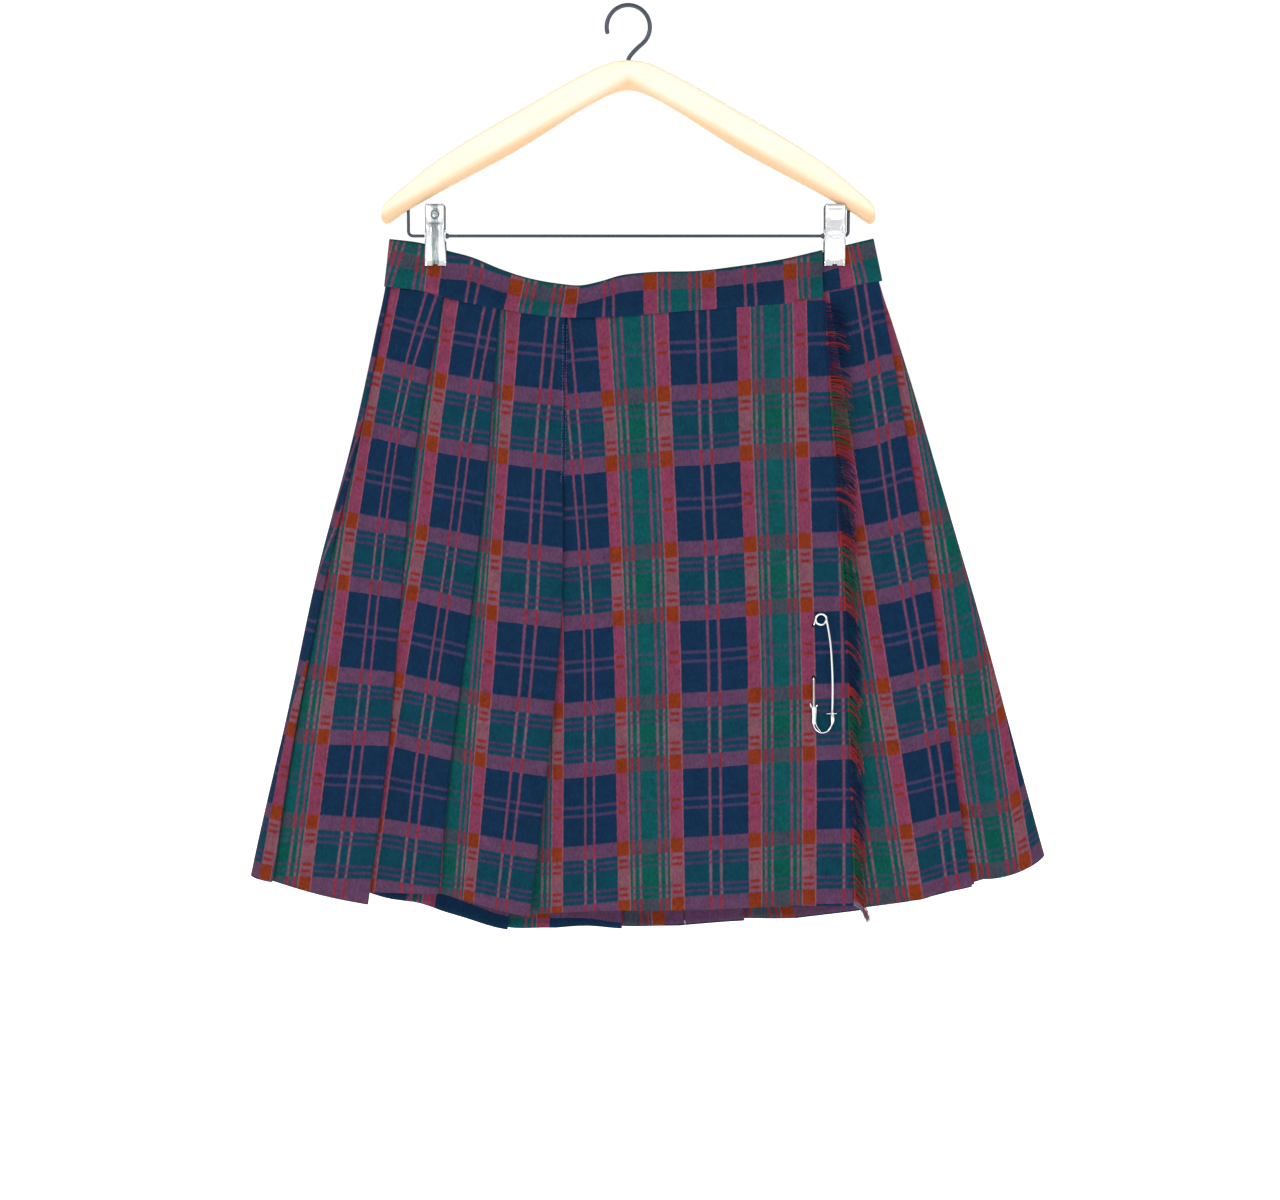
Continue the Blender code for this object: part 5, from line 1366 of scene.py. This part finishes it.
bores = [((0.0, wood_top - SHANK_DEPTH - 1.0), (0.0, wood_top + 10.0), HOOK_WIRE / 2 + SEAM_GAP)]
for side in (-1, 1):
    bores.append(((side * ROD_LEG_X, 5.0), (side * ROD_LEG_X, ROD_LEG_TOP + 1.0), ROD_WIRE / 2 + SEAM_GAP))
for low, high_end, radius in bores:
    drill(arms, [(blend((low[0], high_end[0]), t), 0.0, blend((low[1], high_end[1]), t), radius)
                 for t in (0.0, 0.5, 1.0)], "bore", beech)
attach(arms, "root")
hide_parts("hanger_wood")


# Hook and rod
# Plain drawn steel wire: the hook is screwed into the top of the wood, and the rod's turned-up legs
# are pushed into its ends. The steel has gone dark with use and keeps a soft shine and faint scratches.
steel, tree, shader = new_material("drawn_steel_wire", {
    "Base Color": (0.075, 0.088, 0.108, 1), "Metallic": 1.0, "Roughness": 0.36})
scratches = noise(tree, object_coordinates(tree), 900.0, {"Detail": 3.0})
add_bump(tree, shader, scratches.outputs["Fac"], 0.12, 0.0002)
bend, bend_steps = [], 10
for k in range(bend_steps + 1):
    angle = math.pi / 2 * k / bend_steps
    bend.append((ROD_LEG_X - ROD_BEND * (1 - math.cos(angle)), ROD_BEND * (1 - math.sin(angle))))
leg = [(ROD_LEG_X, z) for z in np.linspace(ROD_LEG_TOP, ROD_BEND + 2, 8)]
level = [(x, 0.0) for x in np.linspace(ROD_LEG_X - ROD_BEND - 3, 6, 30)]
half_rod = leg + bend + level
rod_path = [(-x, 0.0, z, ROD_WIRE / 2) for x, z in half_rod]
rod_path += [(x, 0.0, z, ROD_WIRE / 2) for x, z in half_rod[::-1]]
bm = bmesh.new()
sweep(bm, rod_path, 16)
rod = finished("trouser_rod", bm, steel, 60.0)

centre_z = ROD_BELOW_HOOK + HOOK_WIRE / 2 - HOOK_RADIUS
join, turn_round = math.radians(-50), math.radians(245)
joined = (HOOK_RADIUS * math.cos(join), centre_z + HOOK_RADIUS * math.sin(join))
corner_z = joined[1] - joined[0] * math.cos(join) / -math.sin(join)
wire = HOOK_WIRE / 2
hook_path = [(0.0, 0.0, z, wire) for z in np.linspace(wood_top - SHANK_DEPTH, wood_top - 1, 8)]
for t in np.linspace(0, 1, 13):
    hook_path.append((t * t * joined[0], 0.0,
                      (1 - t) ** 2 * wood_top + 2 * t * (1 - t) * corner_z + t * t * joined[1], wire))
for t in np.linspace(0, 1, 61)[1:]:
    angle = join + turn_round * t
    hook_path.append((HOOK_RADIUS * math.cos(angle), 0.0, centre_z + HOOK_RADIUS * math.sin(angle), wire))
bm = bmesh.new()
sweep(bm, hook_path, 20)
hook = finished("hook_wire", bm, steel, 60.0)
for piece, node_name in ((rod, "hanger_rod"), (hook, "hanger_hook")):
    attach(piece, "root")
    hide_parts(node_name)


# Clips
# Two spring clips slide on the rod. Each is a pair of pressed steel plates with ears, hinged on a
# short barrel, and a coiled spring that shuts their jaws on the waistband. The left clip's front
# plate has a round hole and two ribs; the right one has a slot, four dimples and a notch.
CLIP_X = {"left": -171.0, "right": 182.8}
CLIP_STEEL = 1.0
CLIP_EAR_HALF = 9.3
CLIP_PROFILE = (  # distance from the rod's plane, Z
    (4.8, -26.4), (3.75, -22.0), (5.2, -12.0), (6.6, 0.0), (6.8, 14.0), (8.0, 23.0), (8.4, 25.6), (7.6, 27.3),
)
CLIP_WIDTHS = {"left": (16.6, 19.2), "right": (17.9, 18.9)}
EAR_REACH = (-3.6, 6.5)
BARREL_SHORT = 1.1
BARREL_PAST = 2.4
BARREL_RADIUS = 2.6
BARREL_PROFILE = ((0.0, 2.4), (0.02, 2.6), (0.88, 2.6), (0.93, 2.5), (0.98, 2.15), (1.0, 1.95))
SPRING_RADIUS = 3.6
SPRING_WIRE = 0.55
SPRING_TURNS, SPRING_STEPS = 10, 18
HOLES = {"left": (0.3, 18.4, 3.0), "right": None}
NOTCH_RADIUS = 2.3
RIM_SHADE = 1.1
PLATE_ROWS, PLATE_COLUMNS = 84, 37
PLATE_WALL = 0.9  # share of the steel's thickness
PLATE_ROUNDING = 0.22
EAR_SECTIONS = ((-0.5, 0), (-0.5, 1), (-0.28, 2), (0.28, 2), (0.5, 1), (0.5, 0))  # X share, kind of ring
EAR_HALF_HEIGHT = 5.0
EAR_SQUARENESS = 0.55
EAR_SIDES = 36


def smooth_step(value, start, end):
    t = min(1.0, max(0.0, (value - start) / (end - start)))
    return t * t * (3 - 2 * t)


def left_relief(u, z):
    rib_ends = smooth_step(z, 9.0, 5.0) * smooth_step(z, -22.0, -17.0)
    ribs = 0.95 * math.exp(-((abs(u) - 5.2) / 2.0) ** 4) * rib_ends
    boss = 0.5 * math.exp(-(math.hypot(u, z - HOLES["left"][1]) - 4.2) ** 2 / 0.8)
    waist = -0.5 * math.exp(-((z - 10.8) / 1.3) ** 2) * math.exp(-(u / 6.0) ** 4)
    return ribs + boss + waist


def right_relief(u, z):
    slot = -0.5 * math.exp(-((z - 13.2) / 0.45) ** 2) * math.exp(-(u / 4.2) ** 8)
    dimples = sum(-0.45 * math.exp(-((abs(u) - across) ** 2 + (z - at) ** 2) / 0.5)
                  for across, at in ((5.6, 6.6), (5.4, -21.0)))
    swage = 0.35 * math.exp(-(u / 6.4) ** 8) * smooth_step(z, 24.0, 22.0) * smooth_step(z, 1.0, 4.0)
    return slot + dimples + swage


def add_ear(bm, x, way, bore):
    """A rounded lug of the plate, bored for the barrel. Rings: 0 bore, 1 rounded rim, 2 full rim."""
    rings = []
    for face_x, kind in EAR_SECTIONS:
        ring = []
        for k in range(EAR_SIDES):
            angle = 2 * math.pi * k / EAR_SIDES
            cy, cz = math.cos(angle), math.sin(angle)
            ey, ez = bore * cy, bore * cz
            if kind:
                shrink = PLATE_ROUNDING if kind == 1 else 0.0
                reach_y = (EAR_REACH[1] if cy > 0 else -EAR_REACH[0]) - shrink
                ey = math.copysign(reach_y * abs(cy) ** EAR_SQUARENESS, cy)
                ez = math.copysign((EAR_HALF_HEIGHT - shrink) * abs(cz) ** EAR_SQUARENESS, cz)
            ring.append(bm.verts.new(metres(x + face_x * CLIP_STEEL, way * ey, ez)))
        rings.append(ring)
    join_rings(bm, rings, closed=True)


def pressed_plate(side, way, front):
    """One plate of a clip: a fine grid bent to its profile, pressed, pierced and walled, and its ears."""
    middle = CLIP_X[side]
    profile = smooth_path(CLIP_PROFILE, PLATE_ROWS)
    bm = bmesh.new()
    across = np.linspace(-0.5, 0.5, PLATE_COLUMNS)
    relief = (left_relief if side == "left" else right_relief) if front else (lambda u, z: 0.0)
    places, grid_verts, rim_shade_share = {}, [], {}
    for out, z in profile:
        top_width, low_width = CLIP_WIDTHS[side]
        width = blend((low_width, top_width), smooth_step(z, -26.0, 8.0))
        corner = max(0.0, (z - 24.6) / 3.0)
        width *= 1 - 0.14 * corner ** 2
        row = []
        for share in across:
            u = width * share
            edge_turn = 0.9 * max(0.0, abs(share) * 2 - 0.8) ** 2 / 0.04
            pressed = relief(u, z)
            y = way * (out + pressed - edge_turn)
            vert = bm.verts.new(metres(middle + u, y, z))
            places[vert] = (u, z)
            from_rim = min((1 - abs(share) * 2) * width / 2, profile[-1][1] - z)
            # Painted shade: near the sheared edge and deep in a pressed mark the plate is darkened
            rim_shade_share[vert] = (max(0.0, 1 - from_rim / RIM_SHADE), min(1.0, max(0.0, -2 * pressed)))
            row.append(vert)
        grid_verts.append(row)
    for above, below in zip(grid_verts, grid_verts[1:]):
        for k in range(1, len(across)):
            bm.faces.new((above[k - 1], above[k], below[k], below[k - 1]))
    rim_layer = bm.loops.layers.uv.new("rim")
    for face in bm.faces:
        for loop in face.loops:
            loop[rim_layer].uv = rim_shade_share[loop.vert]
    cut_outs = [(0.0, CLIP_PROFILE[0][1] - 0.4, NOTCH_RADIUS)] if front else []
    if front and HOLES[side]:
        cut_outs.append(HOLES[side])
    for cu, cz, radius in cut_outs:
        inside = {vert for vert, (u, z) in places.items() if math.hypot(u - cu, z - cz) < radius}
        gone = [face for face in bm.faces if all(vert in inside for vert in face.verts)]
        bmesh.ops.delete(bm, geom=gone, context="FACES")
        for vert in [v for v in inside if v.is_valid]:
            u, z = places[vert]
            reach = max(math.hypot(u - cu, z - cz), 0.05)
            vert.co.x += (u - cu) * (radius / reach - 1) * MM
            vert.co.z += (z - cz) * (radius / reach - 1) * MM
    bmesh.ops.delete(bm, geom=[v for v in bm.verts if not v.link_faces], context="VERTS")
    name = f"{side}_clip_{'front' if front else 'back'}_plate"
    plate = finished(name, bm, clip_chrome, 70.0)
    wall = plate.modifiers.new("wall", "SOLIDIFY")
    wall.thickness = CLIP_STEEL * MM * PLATE_WALL
    wall.offset = 0
    rounding = plate.modifiers.new("rounding", "BEVEL")
    rounding.width = PLATE_ROUNDING * MM
    rounding.segments = 2
    rounding.limit_method = "ANGLE"
    rounding.angle_limit = math.radians(55)
    plain_mesh(plate)
    bm = bmesh.new()
    bm.from_mesh(plate.data)
    ear_x = CLIP_EAR_HALF - CLIP_STEEL / 2 - (0 if front else CLIP_STEEL + SEAM_GAP)
    for ear in (-1, 1):
        add_ear(bm, middle + ear * ear_x, way, BARREL_RADIUS + SEAM_GAP)
    bpy.data.objects.remove(plate, do_unlink=True)
    return finished(name, bm, clip_chrome, 50.0)


def painted_rim_shade(tree, tone):
    """The plate's tone, with shade painted dark along its sheared edge and in its pressed marks."""
    rim = map_place(tree, "rim")
    tone = mixed(tree, rim["Y"], tone, linear("#747d88"))
    return mixed(tree, rim["X"], tone, linear("#59616b"))


# Chrome plate on pressed sheet, less even than on wire: the same mirror with slow waves in it and a
# blur from handling. Along the sheared edges and in the pressed marks, shade is painted dark.
clip_chrome, tree, shader = new_material("chromed_sheet", {"Metallic": 1.0, "Roughness": 0.2})
tree.links.new(painted_rim_shade(tree, linear("#eff0f2")), shader.inputs["Base Color"])
waves = noise(tree, object_coordinates(tree), 140.0, {"Detail": 2.0})
add_bump(tree, shader, waves.outputs["Fac"], 0.25, 0.002)

# On the left clip's front plate, darker reflections and shade are painted in as grey between its
# ribs and round its hole; the grey lies in streaks along the plate.
HOLLOW_HALF, HOLLOW_FADE = 3.6, 0.9
HOLE_RING, RING_FADE = 4.0, 1.4
STREAK_STRETCH = 0.12
painted_shade_chrome, tree, shader = new_material("dulled_chromed_sheet", {"Metallic": 1.0, "Roughness": 0.24})
spot = components(tree, object_coordinates(tree))
away = maths(tree, "ABSOLUTE", maths(tree, "SUBTRACT", spot["X"], CLIP_X["left"] * MM))
rib_hollow_shade = maths(tree, "MULTIPLY_ADD", away, -HOLLOW_FADE / MM, HOLLOW_HALF * HOLLOW_FADE, clamp=True)
hole_x, hole_z, _ = HOLES["left"]
flat_spot = node(tree, "ShaderNodeCombineXYZ", None, {0: spot["X"], 2: spot["Z"]})
to_hole = node(tree, "ShaderNodeVectorMath", {"operation": "DISTANCE"},
               {0: flat_spot.outputs[0], 1: metres(CLIP_X["left"] + hole_x, 0, hole_z)}).outputs["Value"]
ring_shade = maths(tree, "MULTIPLY_ADD", to_hole, -RING_FADE / MM, HOLE_RING * RING_FADE + 0.4, clamp=True)
streak_place = node(tree, "ShaderNodeCombineXYZ", None, {
    0: spot["X"], 1: spot["Y"], 2: maths(tree, "MULTIPLY", spot["Z"], STREAK_STRETCH)}).outputs[0]
streak = noise(tree, streak_place, 700.0, {"Detail": 3.0}).outputs["Fac"]
streaked_reflection = maths(tree, "MULTIPLY_ADD", streak, 1.8, -0.15, clamp=True)
# Painted reflection and shade: grey between the ribs and round the hole, in streaks
shaded_sheet_tone = mixed(tree, maths(tree, "MULTIPLY", rib_hollow_shade, streaked_reflection), linear("#eceef0"), linear("#7f8d8b"))
shaded_sheet_tone = mixed(tree, ring_shade, shaded_sheet_tone, linear("#566361"))
tree.links.new(painted_rim_shade(tree, shaded_sheet_tone), shader.inputs["Base Color"])

for side, middle in CLIP_X.items():
    for face, way in (("front", -1), ("back", 1)):
        plate = pressed_plate(side, way, face == "front")
        if (side, face) == ("left", "front"):
            plate.data.materials[0] = painted_shade_chrome
        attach(plate, "root")
        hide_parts(f"clip_{side}_{face}")
    inner = 1 if side == "left" else -1
    bare_end = middle - inner * (CLIP_EAR_HALF - BARREL_SHORT)
    crimped_end = middle + inner * (CLIP_EAR_HALF + BARREL_PAST)
    bore = ROD_WIRE / 2 + SEAM_GAP
    bm = bmesh.new()
    lathe(bm, (bare_end, 0, 0), (crimped_end, 0, 0), (*BARREL_PROFILE, (0.995, bore), (0.0, bore)))
    barrel = finished(f"{side}_clip_barrel", bm, steel, 40.0)
    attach(barrel, "root")
    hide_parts(f"clip_{side}_barrel")
    reach = CLIP_EAR_HALF - 2 * CLIP_STEEL - 2 * SEAM_GAP - SPRING_WIRE
    coil = []
    for k in range(SPRING_TURNS * SPRING_STEPS + 1):
        share = k / (SPRING_TURNS * SPRING_STEPS)
        angle = 2 * math.pi * SPRING_TURNS * share
        coil.append((middle - reach + 2 * reach * share, SPRING_RADIUS * math.cos(angle),
                     SPRING_RADIUS * math.sin(angle), SPRING_WIRE))
    bm = bmesh.new()
    sweep(bm, coil, 8)
    spring = finished(f"{side}_clip_spring", bm, steel, 60.0)
    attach(spring, "root")
    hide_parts(f"clip_{side}_spring")
